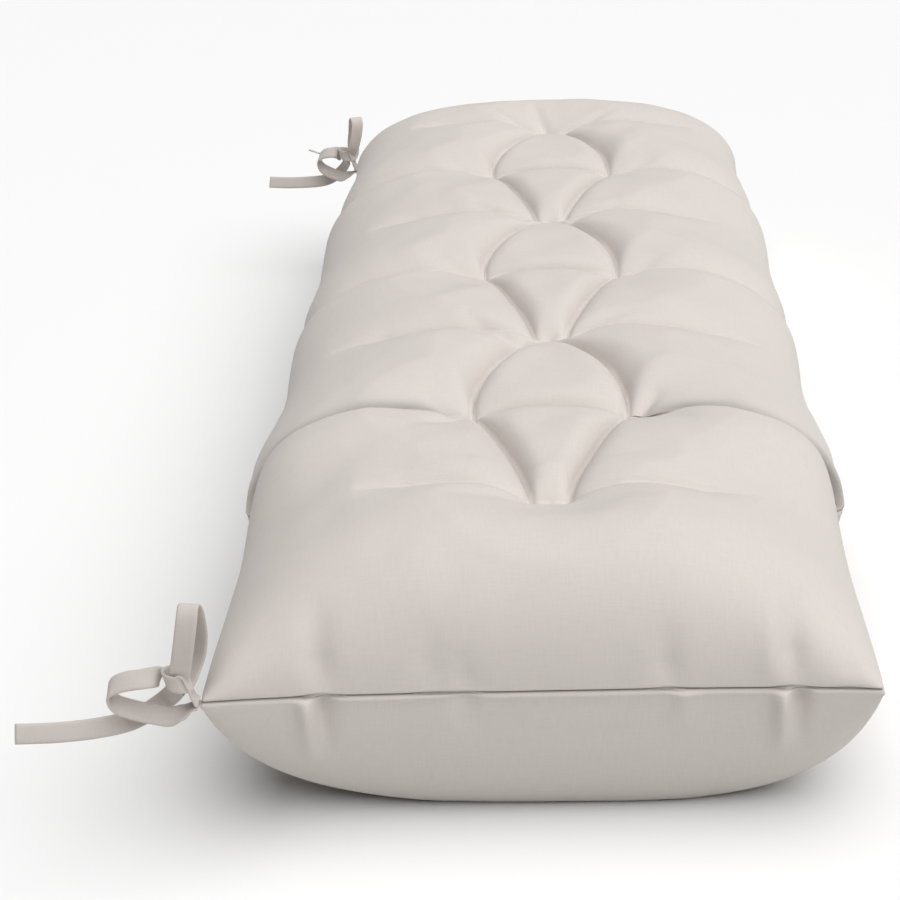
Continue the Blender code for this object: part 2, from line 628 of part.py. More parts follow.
def build_bow(bow, group, cutters):
    tail = longer(LONG_END, 24, bow.tail)
    knotted = ribbon(f"strip_knotted_{bow.name}", upright_loop(bow), bow)
    fuse(knotted, [knot("knot", bow), ribbon("stem", STEM, bow), ribbon("tail", tail, bow)],
         cutters)
    looped = ribbon(f"strip_looped_{bow.name}",
                    longer(ROUND_LOOP, 17, bow.round) + list(bow.short), bow)
    for obj, shade in ((knotted, 0.99), (looped, 0.98)):
        outward(obj)
        obj.data.materials.append(canvas(obj.name + " tape", shade))
        move_to(obj, group)


def main():
    clear_scene()
    group, cutters = new_collection("bench cushion"), new_collection("joined pieces")
    build_body(group)
    for bow in BOWS:
        build_bow(bow, group, cutters)


main()
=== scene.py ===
# %% [markdown]
# # A tufted bench cushion
# A long seat cushion sewn from two panels of canvas, filled with fibre, and drawn in by ten
# stitches that go right through it.  Two bows of canvas tape are sewn to its back corners.
#
# The cushion is a surface of two parameters: `x` runs along the bench, and `share` runs across
# it, from -1 at the front seam to +1 at the back seam.  One smooth crown is worked out first.
# Every crease is then pushed in along the crown's normal, so the pads between them stay full.
# A cloth simulation could fill the cover instead.  A formula is used because it puts each crease
# where the real one lies, and gives the same cushion on every run.

# %% Frame and libraries
import math
from collections import namedtuple

import bpy
import numpy as np
from mathutils import Matrix, Vector


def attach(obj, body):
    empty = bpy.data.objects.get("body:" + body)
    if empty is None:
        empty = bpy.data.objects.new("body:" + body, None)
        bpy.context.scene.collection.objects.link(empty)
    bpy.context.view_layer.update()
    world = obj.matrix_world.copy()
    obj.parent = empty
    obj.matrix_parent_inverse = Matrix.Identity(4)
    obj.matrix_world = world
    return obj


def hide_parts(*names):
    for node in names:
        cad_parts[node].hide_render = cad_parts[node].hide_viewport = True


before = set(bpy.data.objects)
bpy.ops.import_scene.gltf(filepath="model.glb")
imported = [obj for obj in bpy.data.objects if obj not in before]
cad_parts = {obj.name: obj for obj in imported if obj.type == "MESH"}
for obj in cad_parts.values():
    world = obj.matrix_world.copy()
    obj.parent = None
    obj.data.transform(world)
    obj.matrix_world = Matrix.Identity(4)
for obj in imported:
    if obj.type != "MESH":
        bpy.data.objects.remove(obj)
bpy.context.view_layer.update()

# %% [markdown]
# ## The camera first
# The picture was taken from about a metre short of the near end, looking along the bench and
# down.  The four seam corners fix where the camera stood.  A tracking constraint could aim it,
# but the picture is also rolled a little, so the camera's three axes are worked out and put
# into its matrix.  A small shift of the lens frames the cushion.

# %% Camera
SEAM_HEIGHT = 0.096                         # the edge seam above the floor, metres
CAMERA_AT = (-1.6358, -0.01855, 0.6279 + SEAM_HEIGHT)
CAMERA_DOWN, CAMERA_ROLL = 23.58, -1.12     # degrees
LENS, SENSOR = 85, 36                       # mm
LENS_SHIFT = -0.1327                        # as a share of the sensor


def aim_camera(place, down, roll):
    """Looks along +X, tipped down, then rolled about its own axis."""
    tip, turn = math.radians(down), math.radians(roll)
    ahead = Vector((math.cos(tip), 0, -math.sin(tip)))
    right = Vector((0, -1, 0))
    above = right.cross(ahead)
    right, above = (right * math.cos(turn) + above * math.sin(turn),
                    above * math.cos(turn) - right * math.sin(turn))
    data = bpy.data.cameras.new("camera")
    data.lens, data.sensor_width, data.shift_x = LENS, SENSOR, LENS_SHIFT
    data.dof.use_dof = False
    obj = bpy.data.objects.new("camera", data)
    bpy.context.scene.collection.objects.link(obj)
    matrix = Matrix((right, above, -ahead)).transposed().to_4x4()
    matrix.translation = place
    obj.matrix_world = matrix
    bpy.context.scene.camera = obj
    return obj


camera = aim_camera(CAMERA_AT, CAMERA_DOWN, CAMERA_ROLL)
print("camera at", [round(c, 3) for c in camera.location])

# %% [markdown]
# ## Sizes
# The cover is two equal panels, sewn together round a rectangle.  The filling lifts the upper
# one to a crown, and pushes the lower one down to a belly that is flat where it rests.  The
# stitches, called tufts, stand in rows: one in the middle, then a pair, and so on.  The near end
# is at negative x.  Sizes are in metres, unless a comment says otherwise.

# %% Sizes of the filled body
SEAM_LENGTH, SEAM_WIDTH = 1.114, 0.400
CROWN, FAR_CROWN = 0.090, 1.025        # height above the seam; how many times that at the far end
BELLY, BELLY_LEAN = 0.103, 0.05        # depth below the seam; the share more at the front edge
BELLY_SWELL = 1.06                     # how full the belly's section is
END_ROLL_TOP, END_ROLL_BELLY = 0.084, 0.054    # how far in from an end the cloth turns level
TUFT_ASIDE, TUFT_SHIFT = 0.0544, -0.006        # half a pair's spacing; the middle line's own y
HAIR = 1e-9                            # slack for places that are compared
print("seam", SEAM_LENGTH, "by", SEAM_WIDTH, "m, crown", CROWN, "m above it")

# %% Rows of tufts
# Counted from the far end, c for a lone tuft in the centre and p for a pair.  along: its place,
# as a share of the length; aside: how far each tuft is from the middle line; swell: how full
# the section stands, before and past the row; bulge: how far the side stands out over the
# seam, before and past the row
Row = namedtuple("Row", "name along aside swell swell_past bulge bulge_past")
ROWS = (
    Row("c4", -0.384, 0.0, 0.10, 0.10, -0.002, -0.002),
    Row("p3", -0.256, TUFT_ASIDE, 1.38, 0.90, -0.004, 0.0095),
    Row("c3", -0.128, 0.0, 0.40, 0.40, 0.000, 0.000),
    Row("p2", 0.000, TUFT_ASIDE, 0.90, 0.90, 0.004, 0.003),
    Row("c2", 0.128, 0.0, 0.40, 0.40, 0.002, 0.002),
    Row("p1", 0.256, TUFT_ASIDE, 0.95, 0.95, 0.005, 0.000),
    Row("c1", 0.384, 0.0, 0.75, 0.75, -0.006, -0.006),
)


def row_at(row):
    """The row's own x."""
    return row.along * SEAM_LENGTH


def row_named(name):
    """The row of that name."""
    return next(row for row in ROWS if row.name == name)


def tufts():
    """Every tuft as (x, y)."""
    return [(row_at(row), y + TUFT_SHIFT) for row in ROWS
            for y in ([0.0] if row.aside == 0 else [-row.aside, row.aside])]


print(len(ROWS), "rows with", len(tufts()), "tufts")

# %% [markdown]
# ## The smooth crown
# Before any stitch, the filled cover is one long loaf.  Along the bench its height rises from
# each end seam as a quarter of an ellipse.  Across it follows `section`, a super-ellipse.  The
# sides stand fuller, and bulge over the seam, beside each pair of tufts.  A box could be blown
# up to such a shape, but with a formula each point knows its place on the panel, and the two
# panels meet in the seam by themselves.

# %% Crown
SLIM, FULL = (2.4, 0.65), (3.0, 0.40)  # the two powers of a slim and of a full section
END_SWELL = (0.10, 0.90)               # at the near end and at the far end
ROW_SPAN, LEAD = 0.005, 0.030          # half the stretch of a change; the even stretch before it
EAR, EAR_POWER = 0.006, 12             # how far the end seams are drawn in between the corners
SIDE_PULL, SIDE_PULL_HALF = 0.003, 0.020       # how far a pair draws in the sides; its half length
BULGE_FADE, BULGE_FADE_UNDER = 1.5, 0.35       # how fast the bulge dies out away from the seam


def bell(distance, half):
    """The bell curve `exp(-(d / half)^2)`: 1 in the middle, fading out on both sides."""
    return np.exp(-(distance / half) ** 2)


def section(share, swell):
    """Height across the cushion: a slim or a full super-ellipse, mixed by swell."""
    share = np.clip(np.abs(share), 0, 1)
    slim = (1 - share ** SLIM[0]) ** SLIM[1]
    full = (1 - share ** FULL[0]) ** FULL[1]
    return slim + (full - slim) * swell


def end_roll(x, reach):
    """0 at an end seam, rising to 1 as a quarter ellipse of the given reach."""
    inward = np.clip((SEAM_LENGTH / 2 - np.abs(x)) / reach, 0, 1)
    return np.sqrt(np.clip(1 - (1 - inward) ** 2, 0, 1))


def between_rows(x, ends, before, past):
    """Smooth steps (3t^2 - 2t^3) between the amounts named before and past each row."""
    half = SEAM_LENGTH / 2
    where, amount = [-half], [ends[0]]
    for row, a, b in zip(ROWS, before, past):
        lead = LEAD if a != b else 0.0
        where += [row_at(row) - ROW_SPAN - lead, row_at(row) - ROW_SPAN, row_at(row) + ROW_SPAN]
        amount += [a, a, b]
    where, amount = np.array(where + [half]), np.array(amount + [ends[1]])
    k = np.clip(np.searchsorted(where, x, side="right") - 1, 0, len(where) - 2)
    t = (x - where[k]) / np.maximum(where[k + 1] - where[k], HAIR)
    return amount[k] + (amount[k + 1] - amount[k]) * (3 * t ** 2 - 2 * t ** 3)


def seam_line(x, y, share):
    """The end seams are drawn in between their corners, and the side seams beside each pair.

    The high powers of x and of share keep each pull to its own edge.
    """
    x_in = EAR * (1 - share ** 4) * (np.abs(x) / (SEAM_LENGTH / 2)) ** EAR_POWER
    pulls = [bell(x - row_at(r), SIDE_PULL_HALF) for r in ROWS if r.aside]
    y_in = SIDE_PULL * np.sum(pulls, axis=0) * np.abs(share) ** 8
    return x - np.sign(x) * x_in, y - np.sign(y) * y_in


def smooth_panel(x, share, straight, above):
    """A panel before any stitch: its points, their y before the seam's pull, and their level.

    The level is 0 at the seam and 1 on top; the height is crown or belly times the level.
    """
    y = share * (SEAM_WIDTH / 2)
    if above:
        taller = np.interp(x, [0.0, SEAM_LENGTH / 2], [1.0, FAR_CROWN])
        swell = between_rows(straight, END_SWELL, [r.swell for r in ROWS],
                             [r.swell_past for r in ROWS])
        level = end_roll(x, END_ROLL_TOP) * section(share, swell)
        height = CROWN * taller * level
    else:
        level = end_roll(x, END_ROLL_BELLY) * section(share, BELLY_SWELL)
        height = BELLY * level * (1 - BELLY_LEAN * share)
    bulge = between_rows(straight, (0.0, 0.0), [r.bulge for r in ROWS],
                         [r.bulge_past for r in ROWS])
    fade = BULGE_FADE if above else BULGE_FADE_UNDER
    level = np.clip(level, 0, 1)
    y = y + np.sign(share) * bulge * (1 - level ** fade) * share ** 4
    return np.stack([*seam_line(x, y, share), height], -1), y, level


print("height halfway to a side: slim", round(float(section(0.5, 0)), 2),
      "and full", round(float(section(0.5, 1)), 2), "of the middle")

# %% [markdown]
# ## The profile of a crease
# A crease is the valley where two full pads meet.  Its profile is two quarters of a
# super-ellipse that touch: `1 - (1 - (1 - d)^k)^(1/k)`, with `d` the distance over half the
# width.  The larger `k` is, the fuller the pads stand.  A square root of the distance squared
# plus a small radius squared keeps its bottom from being a knife edge.  A crease could be carved
# by hand in sculpt mode, but one that depends only on the distance from a line can be moved.

# %% Crease profile
FULLNESS, PIN = 1.7, 0.0008            # the usual k; the small radius
SLIT_HALF = 0.0035                     # half the width of the narrow slit in a crease's bottom


def crease_shape(distance, half, full=FULLNESS, pin=PIN):
    """1 in the bottom of the crease, 0 from its half width on."""
    soft = np.sqrt(distance ** 2 + pin ** 2) - pin
    return 1 - (1 - (1 - np.clip(soft / half, 0, 1)) ** full) ** (1 / full)


def slit(distance):
    """The narrow gap left where the cloth of two pads touches: a plain V."""
    return np.clip(1 - distance / SLIT_HALF, 0, 1)


def along_line(x, y, start, end, bow):
    """Share of the way along a bowed line, the distance from it, and its left or right."""
    a, b = np.array(start), np.array(end)
    run = b - a
    span = np.hypot(*run)
    t = ((x - a[0]) * run[0] + (y - a[1]) * run[1]) / span ** 2
    inside = np.clip(t, 0, 1)
    aside = ((y - a[1]) * run[0] - (x - a[0]) * run[1]) / span - bow * 4 * inside * (1 - inside)
    return inside, np.hypot(aside, (t - inside) * span), np.sign(aside)


print("halfway up its side a crease is", f"{crease_shape(0.5, 1.0):.0%}", "deep")

# %% [markdown]
# ## Tufts and diamonds
# Each stitch pulls the top down into a soft cone, and the cloth folds along a crease from one
# stitch to the next.  From a lone tuft two creases open like a fan to the next pair.  From the
# pair two more close over a dome to the next lone tuft.  A fan and a dome make one diamond, with
# a straight crease across its widest place.

# %% Tufts and diamonds
TUFT_PULL, TUFT_DEPTH = 0.022, 0.025   # depth of a tuft's cone, and of a crease at a tuft
TUFT_SIDE, TUFT_NEAR, TUFT_FAR = 0.066, 0.084, 0.058   # reach of the cone: aside, nearer, farther
TUFT_FULLNESS, TUFT_ROUND = 1.15, 0.20         # how full its sides are; how round its bottom is
DIAMOND_MID, DIAMOND_SLIT = 0.027, 0.003       # a diamond's crease halfway, and the slit in it
DEPTH_TURN = 0.7                       # below 1, the depth halfway is reached sooner
FAN_BOW, DOME_BOW = -0.0052, -0.0180   # to the left, from the lone tuft: a fan's in, a dome's out
LONE_ASIDE = 0.012                     # how far beside the lone tuft a fan's creases start

# Half width and fullness of each flank; +1 is at the back, -1 at the front
FAN_INSIDE, DOME_INSIDE = (0.036, 1.6), (0.044, 1.6)
BESIDE_FAN = {+1: (0.050, 1.6), -1: (0.042, 1.7)}
BESIDE_DOME = (0.034, 1.7)
CROSS_MID, CROSS_SIDE = 0.029, (0.036, 1.6)    # the crease across: depth halfway, and flanks


def half_diamonds():
    """From each row to the next: the lone row, the pair, whether it is a fan, and the bow."""
    for here, there in zip(ROWS[:-1], ROWS[1:]):
        fan = here.aside == 0
        lone, pair = (here, there) if fan else (there, here)
        yield lone, pair, fan, FAN_BOW if fan else DOME_BOW


print(sum(fan for _, _, fan, _ in half_diamonds()), "fans, as many domes")

# %% Cones and creases
def tuft_cone(x, y, tuft):
    """The crease profile turned about the tuft as an ellipse, longer on its near side."""
    along = (x - tuft[0]) / np.where(x < tuft[0], TUFT_NEAR, TUFT_FAR)
    return TUFT_PULL * crease_shape(np.hypot(along, (y - tuft[1]) / TUFT_SIDE), 1.0,
                                    TUFT_FULLNESS, TUFT_ROUND)


def between_tufts(x, y, start, end, bow, middle, left, right):
    """A crease from one tuft to another, with its own depth halfway and its own two flanks."""
    t, away, hand = along_line(x, y, start, end, bow)
    depth = TUFT_DEPTH + (middle - TUFT_DEPTH) * np.sin(np.pi * t) ** DEPTH_TURN
    half, full = [np.where(hand > 0, a, b) for a, b in zip(left, right)]
    return depth * crease_shape(away, half, full) + DIAMOND_SLIT * slit(away)


def diamond_dents(x, y):
    """Every crease of every diamond: those of fans and domes, then those across the pairs."""
    dents = []
    for lone, pair, fan, bow in half_diamonds():
        for side in (-1, 1):
            flanks = (BESIDE_FAN[side], FAN_INSIDE) if fan else (BESIDE_DOME, DOME_INSIDE)
            flanks = flanks if fan == (side > 0) else flanks[::-1]
            dents.append(between_tufts(x, y, (row_at(lone), side * LONE_ASIDE * fan),
                                       (row_at(pair), side * pair.aside), bow * side,
                                       DIAMOND_MID, *flanks))
    for row in ROWS:
        if row.aside:
            dents.append(between_tufts(x, y, (row_at(row), -row.aside), (row_at(row), row.aside),
                                       0.0, CROSS_MID, CROSS_SIDE, CROSS_SIDE))
    return dents


halfway = between_tufts(0.5, 0.0, (0, 0), (1, 0), 0.0, DIAMOND_MID, CROSS_SIDE, CROSS_SIDE)
print("halfway between two tufts a crease is", round(float(halfway) * 1000), "mm deep")

# %% Where the diamonds' creases run
LINE_POINTS = 201                      # points that stand for a bowed line


def crease_aside(x):
    """How far off the middle line the crease between two tufts lies, at each x."""
    out = np.zeros_like(x)
    for lone, pair, fan, bow in half_diamonds():
        start = np.array([row_at(lone), LONE_ASIDE * fan])
        run = np.array([row_at(pair), pair.aside]) - start
        left = np.array([-run[1], run[0]]) / np.hypot(*run)
        t = np.linspace(0, 1, LINE_POINTS)[:, None]
        line = start + run * t + left * bow * 4 * t * (1 - t)
        line = line[np.argsort(line[:, 0])]
        near, far = sorted((row_at(lone), row_at(pair)))
        within = (x >= near - HAIR) & (x <= far + HAIR)
        out[within] = np.interp(x[within], line[:, 0], line[:, 1])
    return out


half_widths = crease_aside(np.linspace(row_at(ROWS[0]), row_at(ROWS[-1]), LINE_POINTS))
print("the diamonds are", round(2000 * half_widths.max()), "mm across")

# %% [markdown]
# ## Folds over the sides
# From every tuft a fold runs out over the side, and those of the pairs part one pad from the
# next.  At the nearest pair, row p3, two pads press on each other.  The fold there is deep and
# narrow, and its outer end swings towards the near end.  Two pads modelled apart could really
# touch, but they would show an edge where the real cloth runs on.  So the cloth stays in one
# piece, and where hardly any light would get in, `fold_shade` says where to paint it dark.

# %% Folds over the sides
# back: +1 towards the back edge; reach: where it ends, as a share of the way to the seam; run,
# side: its depth along the way and at the side; sweep: how far its outer end curves towards the
# far end; near, far: its half widths on those sides of its line; full: how full its flanks are;
# slit: how deep the narrow slit in its bottom is
Fold = namedtuple("Fold", "row back reach run side sweep near far full slit")
FOLDS = (
    Fold("c4", +1, 0.62, 0.012, 0.000, +0.008, 0.040, 0.036, 1.6, 0.002),
    Fold("c4", -1, 0.66, 0.012, 0.000, +0.002, 0.034, 0.036, 1.6, 0.002),
    Fold("p3", +1, 1.00, 0.034, 0.022, -0.020, 0.020, 0.018, 2.8, 0.010),
    Fold("p3", -1, 1.00, 0.034, 0.022, -0.028, 0.018, 0.018, 2.8, 0.010),
    Fold("c3", +1, 0.85, 0.016, 0.000, +0.006, 0.046, 0.046, 1.7, 0.002),
    Fold("c3", -1, 0.80, 0.015, 0.000, +0.010, 0.046, 0.046, 1.7, 0.002),
    Fold("p2", +1, 1.00, 0.017, 0.009, +0.002, 0.040, 0.050, 1.7, 0.002),
    Fold("p2", -1, 1.00, 0.017, 0.009, +0.002, 0.040, 0.050, 1.7, 0.002),
    Fold("c2", +1, 0.80, 0.015, 0.000, +0.006, 0.044, 0.044, 1.7, 0.002),
    Fold("c2", -1, 0.75, 0.014, 0.000, +0.010, 0.044, 0.044, 1.7, 0.002),
    Fold("p1", +1, 1.00, 0.018, 0.009, +0.002, 0.040, 0.050, 1.7, 0.002),
    Fold("p1", -1, 1.00, 0.018, 0.009, +0.002, 0.040, 0.050, 1.7, 0.002),
    Fold("c1", +1, 0.70, 0.013, 0.000, +0.010, 0.040, 0.040, 1.7, 0.002),
    Fold("c1", -1, 0.70, 0.013, 0.000, +0.010, 0.040, 0.040, 1.7, 0.002),
)
print(len(FOLDS), "folds, the deepest", round(max(f.run for f in FOLDS) * 1000), "mm")

# %% Shape of a fold
DEPTH_AT = (0, 0.15, 0.35, 0.75, 1)    # the shares of its reach where the depth is set
LATE_RUN = 0.85                        # the share of `run` that is left at the fourth of them
NARROW_AT, NARROWING = (0, 0.6, 1), (1, 0.9, 0.8)      # how the width shrinks on the way out
SLIT_START, SLIT_END = 0.2, 0.3        # how far out the slit is whole; how suddenly it ends


def sweep_of(fold, past):
    """How far a fold has swung along the bench: quickly at first, and straight at its end."""
    return fold.sweep * (1 - (1 - np.clip(past, 0, 1)) ** 3)


def side_fold(x, y, fold):
    """A crease from a tuft out over the side, narrower where it reaches the wall."""
    row = row_named(fold.row)
    room = SEAM_WIDTH / 2 - row.aside
    t = np.clip((y * fold.back - row.aside) / room, -1, 1)
    past = np.clip(t, 0, 1)
    depths = [TUFT_DEPTH, (TUFT_DEPTH + fold.run) / 2, fold.run, fold.run * LATE_RUN, fold.side]
    depth = np.interp(past / fold.reach, DEPTH_AT, depths)
    away = np.hypot(x - row_at(row) - sweep_of(fold, past), np.clip(-t, 0, 1) * room)
    beyond = x > row_at(row) + sweep_of(fold, past)
    half = np.where(beyond, fold.far, fold.near)
    half = half * np.interp(past, NARROW_AT, NARROWING)
    opening = fold.slit * slit(away) * np.clip(past / SLIT_START, 0, 1)
    opening = opening * np.clip(1 - past / fold.reach, 0, 1) ** SLIT_END
    return (depth * crease_shape(away, half, fold.full) + opening) * (past <= fold.reach)


start = side_fold(row_at(ROWS[0]), 0.0, FOLDS[0])
print("a fold starts at its tuft", round(float(start) * 1000), "mm deep")

# %% Shade in the deep folds
DEEP_SLIT = 0.005                      # a fold with a deeper slit than this is shaded
SHADE_NEAR, SHADE_FAR, SHADE = 0.0045, 0.0120, 0.75    # reach to each side; the strength
SHADE_FROM, SHADE_RISE = 0.04, 0.25    # where the shade starts and how soon it is whole, ...
SHADE_TO, SHADE_FALL = 1.01, 0.12      # ... where it ends and how soon, as shares of the way out


def fold_shade(x, y):
    """1 in the deep folds, fading out on both sides as a bell curve and towards both ends."""
    total = np.zeros_like(x)
    for fold in FOLDS:
        row = row_named(fold.row)
        past = (y * fold.back - row.aside) / (SEAM_WIDTH / 2 - row.aside)
        away = x - row_at(row) - sweep_of(fold, past)
        ends = (np.clip((past - SHADE_FROM) / SHADE_RISE, 0, 1)
                * np.clip((SHADE_TO - past) / SHADE_FALL, 0, 1))
        reach = np.where(away > 0, SHADE_FAR, SHADE_NEAR)
        total += (fold.slit > DEEP_SLIT) * ends * bell(away, reach)
    return total


print(sum(f.slit > DEEP_SLIT for f in FOLDS), "of the folds are shaded")

# %% [markdown]
# ## Small creases and slow waves
# Pulled cloth also breaks into short creases, and fibre never fills a cover evenly.  The finest
# wrinkles could come from a noise texture, but noise has no direction, and these lie along the
# pull of the nearest stitch.  So each is a bell curve across a short bowed line.  Twelve slow
# waves in all directions then keep the pads from looking moulded.

# %% Small creases and slow waves
# In mm from the body's middle: start, end, sideways bow, depth, half width
Crease = namedtuple("Crease", "x0 y0 x1 y1 bow deep half")
CREASES = (
    Crease(-166, 14, -115, 62, 4, 5.0, 9),
    Crease(-167, 19, -141, 108, -8, 4.5, 8),
    Crease(-150, -20, -112, -92, 6, 4.0, 9),
    Crease(-300, 52, -352, 92, -5, 4.0, 9),
    Crease(-300, 52, -262, 86, 4, 3.5, 8),
    Crease(-292, -68, -262, -84, 0, 6.0, 7),
    Crease(-294, -64, -344, -104, 5, 3.5, 9),
    Crease(-424, -6, -452, 70, 5, 3.0, 10),
    Crease(-426, -8, -456, -76, -5, 3.0, 10),
    Crease(-8, 52, 30, 92, 4, 3.5, 9),
    Crease(-8, -64, 26, -98, -4, 3.5, 9),
    Crease(130, 10, 162, 64, 4, 3.5, 9),
    Crease(128, -18, 160, -70, -4, 3.5, 9),
    Crease(276, 52, 312, 96, 4, 3.0, 9),
    Crease(276, -66, 312, -104, -4, 3.0, 9),
    Crease(420, 0, 470, 62, 4, 6.0, 8),
    Crease(424, -4, 488, 12, 2, 5.0, 8),
    Crease(420, -10, 462, -74, -4, 6.0, 8),
)
CREASE_FADE, CREASE_START = 0.6, 0.12  # how slowly it fades out; the share in which it starts
CREASE_SPREAD = 0.78                   # the bell curve's reach for each half width
RIPPLE = 0.0022                        # height of each slow wave, as a share of its length
WAVES, WAVE_LENGTHS = 12, (0.030, 0.080)       # how many; the shortest and the longest
WAVE_SEED = 12                         # gives the same waves on every run


def small_creases(x, y):
    """The single short creases of the table, fading out along their length."""
    total = np.zeros_like(x)
    for c in CREASES:
        start, end = (c.x0 / 1000, c.y0 / 1000), (c.x1 / 1000, c.y1 / 1000)
        t, away, _ = along_line(x, y, start, end, c.bow / 1000)
        fade = np.clip(1 - t, 0, 1) ** CREASE_FADE * np.clip(t / CREASE_START, 0, 1)
        total += c.deep / 1000 * fade * bell(away, CREASE_SPREAD * c.half / 1000)
    return total


def ripples(x, y):
    """A sum of slow sine waves, each with its own length, direction and start."""
    random = np.random.default_rng(WAVE_SEED)
    total = np.zeros_like(x)
    for wave in random.uniform(*WAVE_LENGTHS, WAVES):
        turn, start = random.uniform(0, 2 * np.pi, 2)
        total += wave * np.sin(2 * np.pi * (x * np.cos(turn) + y * np.sin(turn)) / wave + start)
    return RIPPLE * total


print(len(CREASES), "small creases,", WAVES, "slow waves")

# %% [markdown]
# ## Every dent together
# Where two creases meet, their depths must not add up, or the meeting place would be a pit.
# The deeper one alone would leave a sharp line where they change over.  A soft maximum, the
# fifth root of the sum of fifth powers, follows the deeper one and rounds that line.
# Underneath, the same stitches leave only small dimples.

# %% Every dent together
MIDDLE_DIP, MIDDLE_HALF = 0.012, 0.085 # the dip along the line of tufts, and its half width
DIP_ENDS = 0.04                        # the stretch over which it starts, and ends
FAR_DEPTH, FAR_ROWS = 0.86, ("p3", "p2")       # share of the depth that is left past these rows
BLEND = 5                              # the power of the soft maximum
DIMPLE, DIMPLE_HALF, DIMPLE_PIN = 0.016, 0.034, 0.004  # underneath: depth, reach, roundness


def top_dent(x, y):
    """How deep the top panel is drawn in: a soft maximum of tufts, diamonds, dip and folds."""
    across = y - TUFT_SHIFT
    dents = [tuft_cone(x, y, tuft) for tuft in tufts()] + diamond_dents(x, across)
    first, last = row_at(ROWS[0]), row_at(ROWS[-1])
    within = np.clip((x - first) / DIP_ENDS, 0, 1) * np.clip((last - x) / DIP_ENDS, 0, 1)
    dents.append(MIDDLE_DIP * within * np.cos(np.pi / 2 * np.clip(across / MIDDLE_HALF, -1, 1)))
    dents += [side_fold(x, across, fold) for fold in FOLDS]
    softer = np.interp(x, [row_at(row_named(name)) for name in FAR_ROWS], [1.0, FAR_DEPTH])
    return softer * np.sum(np.array(dents) ** BLEND, axis=0) ** (1 / BLEND)


def under_dent(x, y):
    """The same stitches underneath: the deepest of the dimples at each place."""
    return np.max([DIMPLE * crease_shape(np.hypot(x - tx, y - ty), DIMPLE_HALF, pin=DIMPLE_PIN)
                   for tx, ty in tufts()], axis=0)


places = np.array(tufts())
print("depth at the tufts, mm:", np.round(top_dent(places[:, 0], places[:, 1]) * 1000))

# %% [markdown]
# ## Gathers at the end seams
# The panels are a little fuller than the seam that joins them, so the cloth stands in short
# puckers across both end seams.  Cloth simulations find such puckers by themselves, but never in
# the same places, so each one is given one by one: a bell curve across it, which rises a little
# way from the seam and fades out along its length.

# %% Gathers
# end: -1 the near end; across: from the middle line; up, down: how far each runs from the seam;
# deep: negative is a ridge
Gather = namedtuple("Gather", "end across up down deep half")
GATHERS = (
    Gather(-1, +0.131, 0.064, 0.000, 0.0045, 0.009),
    Gather(-1, +0.139, 0.000, 0.052, -0.0050, 0.005),
    Gather(-1, +0.129, 0.000, 0.046, 0.0052, 0.005),
    Gather(-1, +0.065, 0.048, 0.000, 0.0020, 0.009),
    Gather(-1, +0.046, 0.032, 0.026, 0.0020, 0.008),
    Gather(-1, -0.073, 0.046, 0.000, 0.0030, 0.008),
    Gather(-1, -0.083, 0.000, 0.030, -0.0022, 0.006),
    Gather(-1, -0.146, 0.066, 0.000, 0.0050, 0.009),
    Gather(-1, -0.134, 0.060, 0.000, -0.0022, 0.007),
    Gather(-1, -0.141, 0.000, 0.052, -0.0055, 0.005),
    Gather(-1, -0.151, 0.000, 0.044, 0.0050, 0.005),
    Gather(-1, -0.180, 0.036, 0.000, 0.0020, 0.008),
    Gather(+1, +0.128, 0.054, 0.030, 0.0040, 0.009),
    Gather(+1, +0.052, 0.042, 0.022, 0.0020, 0.008),
    Gather(+1, -0.070, 0.046, 0.026, 0.0028, 0.008),
    Gather(+1, -0.139, 0.054, 0.032, 0.0045, 0.009),
)
RISE_UP, RISE_DOWN = 0.35, 0.12        # share of its length in which a gather rises
GATHER_GAIN = 1.5                      # makes up for what the rise takes off its depth


def gather_dent(x, y, height, above):
    """The sum of all gathers, by the distance from the seam over each one's length."""
    total = np.zeros_like(x)
    inward = SEAM_LENGTH / 2 - np.abs(x)
    for g in GATHERS:
        run = g.up if above else g.down
        if run:
            out = np.hypot(inward, height) / run
            rise = np.clip(out / (RISE_UP if above else RISE_DOWN), 0, 1)
            fade = np.clip(1 - out, 0, 1) * rise * GATHER_GAIN
            total += g.deep * bell(y - g.across, g.half) * fade * (np.sign(x) == g.end)
    return total


print(len(GATHERS), "gathers at the end seams")

# %% [markdown]
# ## The grid
# A crease is only clean if a line of the grid runs along its bottom.  Otherwise it shows teeth.
# So the grid starts as straight lines, close together where the cloth turns down to the seam.
# Then it is bent.  Of the lines along the bench, the nearest on each side moves onto the
# diamonds' creases, and the lines across it swing with the folds of their row.  The deep fold
# at p3 gets more lines.  A finer grid all over would also do, with many times the faces.

# %% Grid lines
SEAM_LINES, SEAM_STEP = 6, 0.0006      # close lines beside the seam, and their spacing
ROLL_LINES, FLAT_LINES = 32, 12        # over an end roll, and from there to the next row
ROW_LINES = 44                         # from one row to the next
LONE_CROWDING = 0.40                   # how much they crowd on the near side of a lone tuft
DEEP_ROW, DEEP_LINES = "p3", (0.0006, 0.0012, 0.0019, 0.0028, 0.0040, 0.0056)
LINE_ROOM = 0.0005                     # room kept free beside the outermost of those

# Spacing across, for each stretch of the section's length from the middle line
Stretch = namedtuple("Stretch", "until step")
STRETCHES = (Stretch(0.084, 0.0022), Stretch(0.118, 0.0045), Stretch(0.165, 0.0026),
             Stretch(1.000, 0.0055))
MEASURE_POINTS, MEASURE_SWELL = 8001, 0.8      # how finely, and where, that length is measured


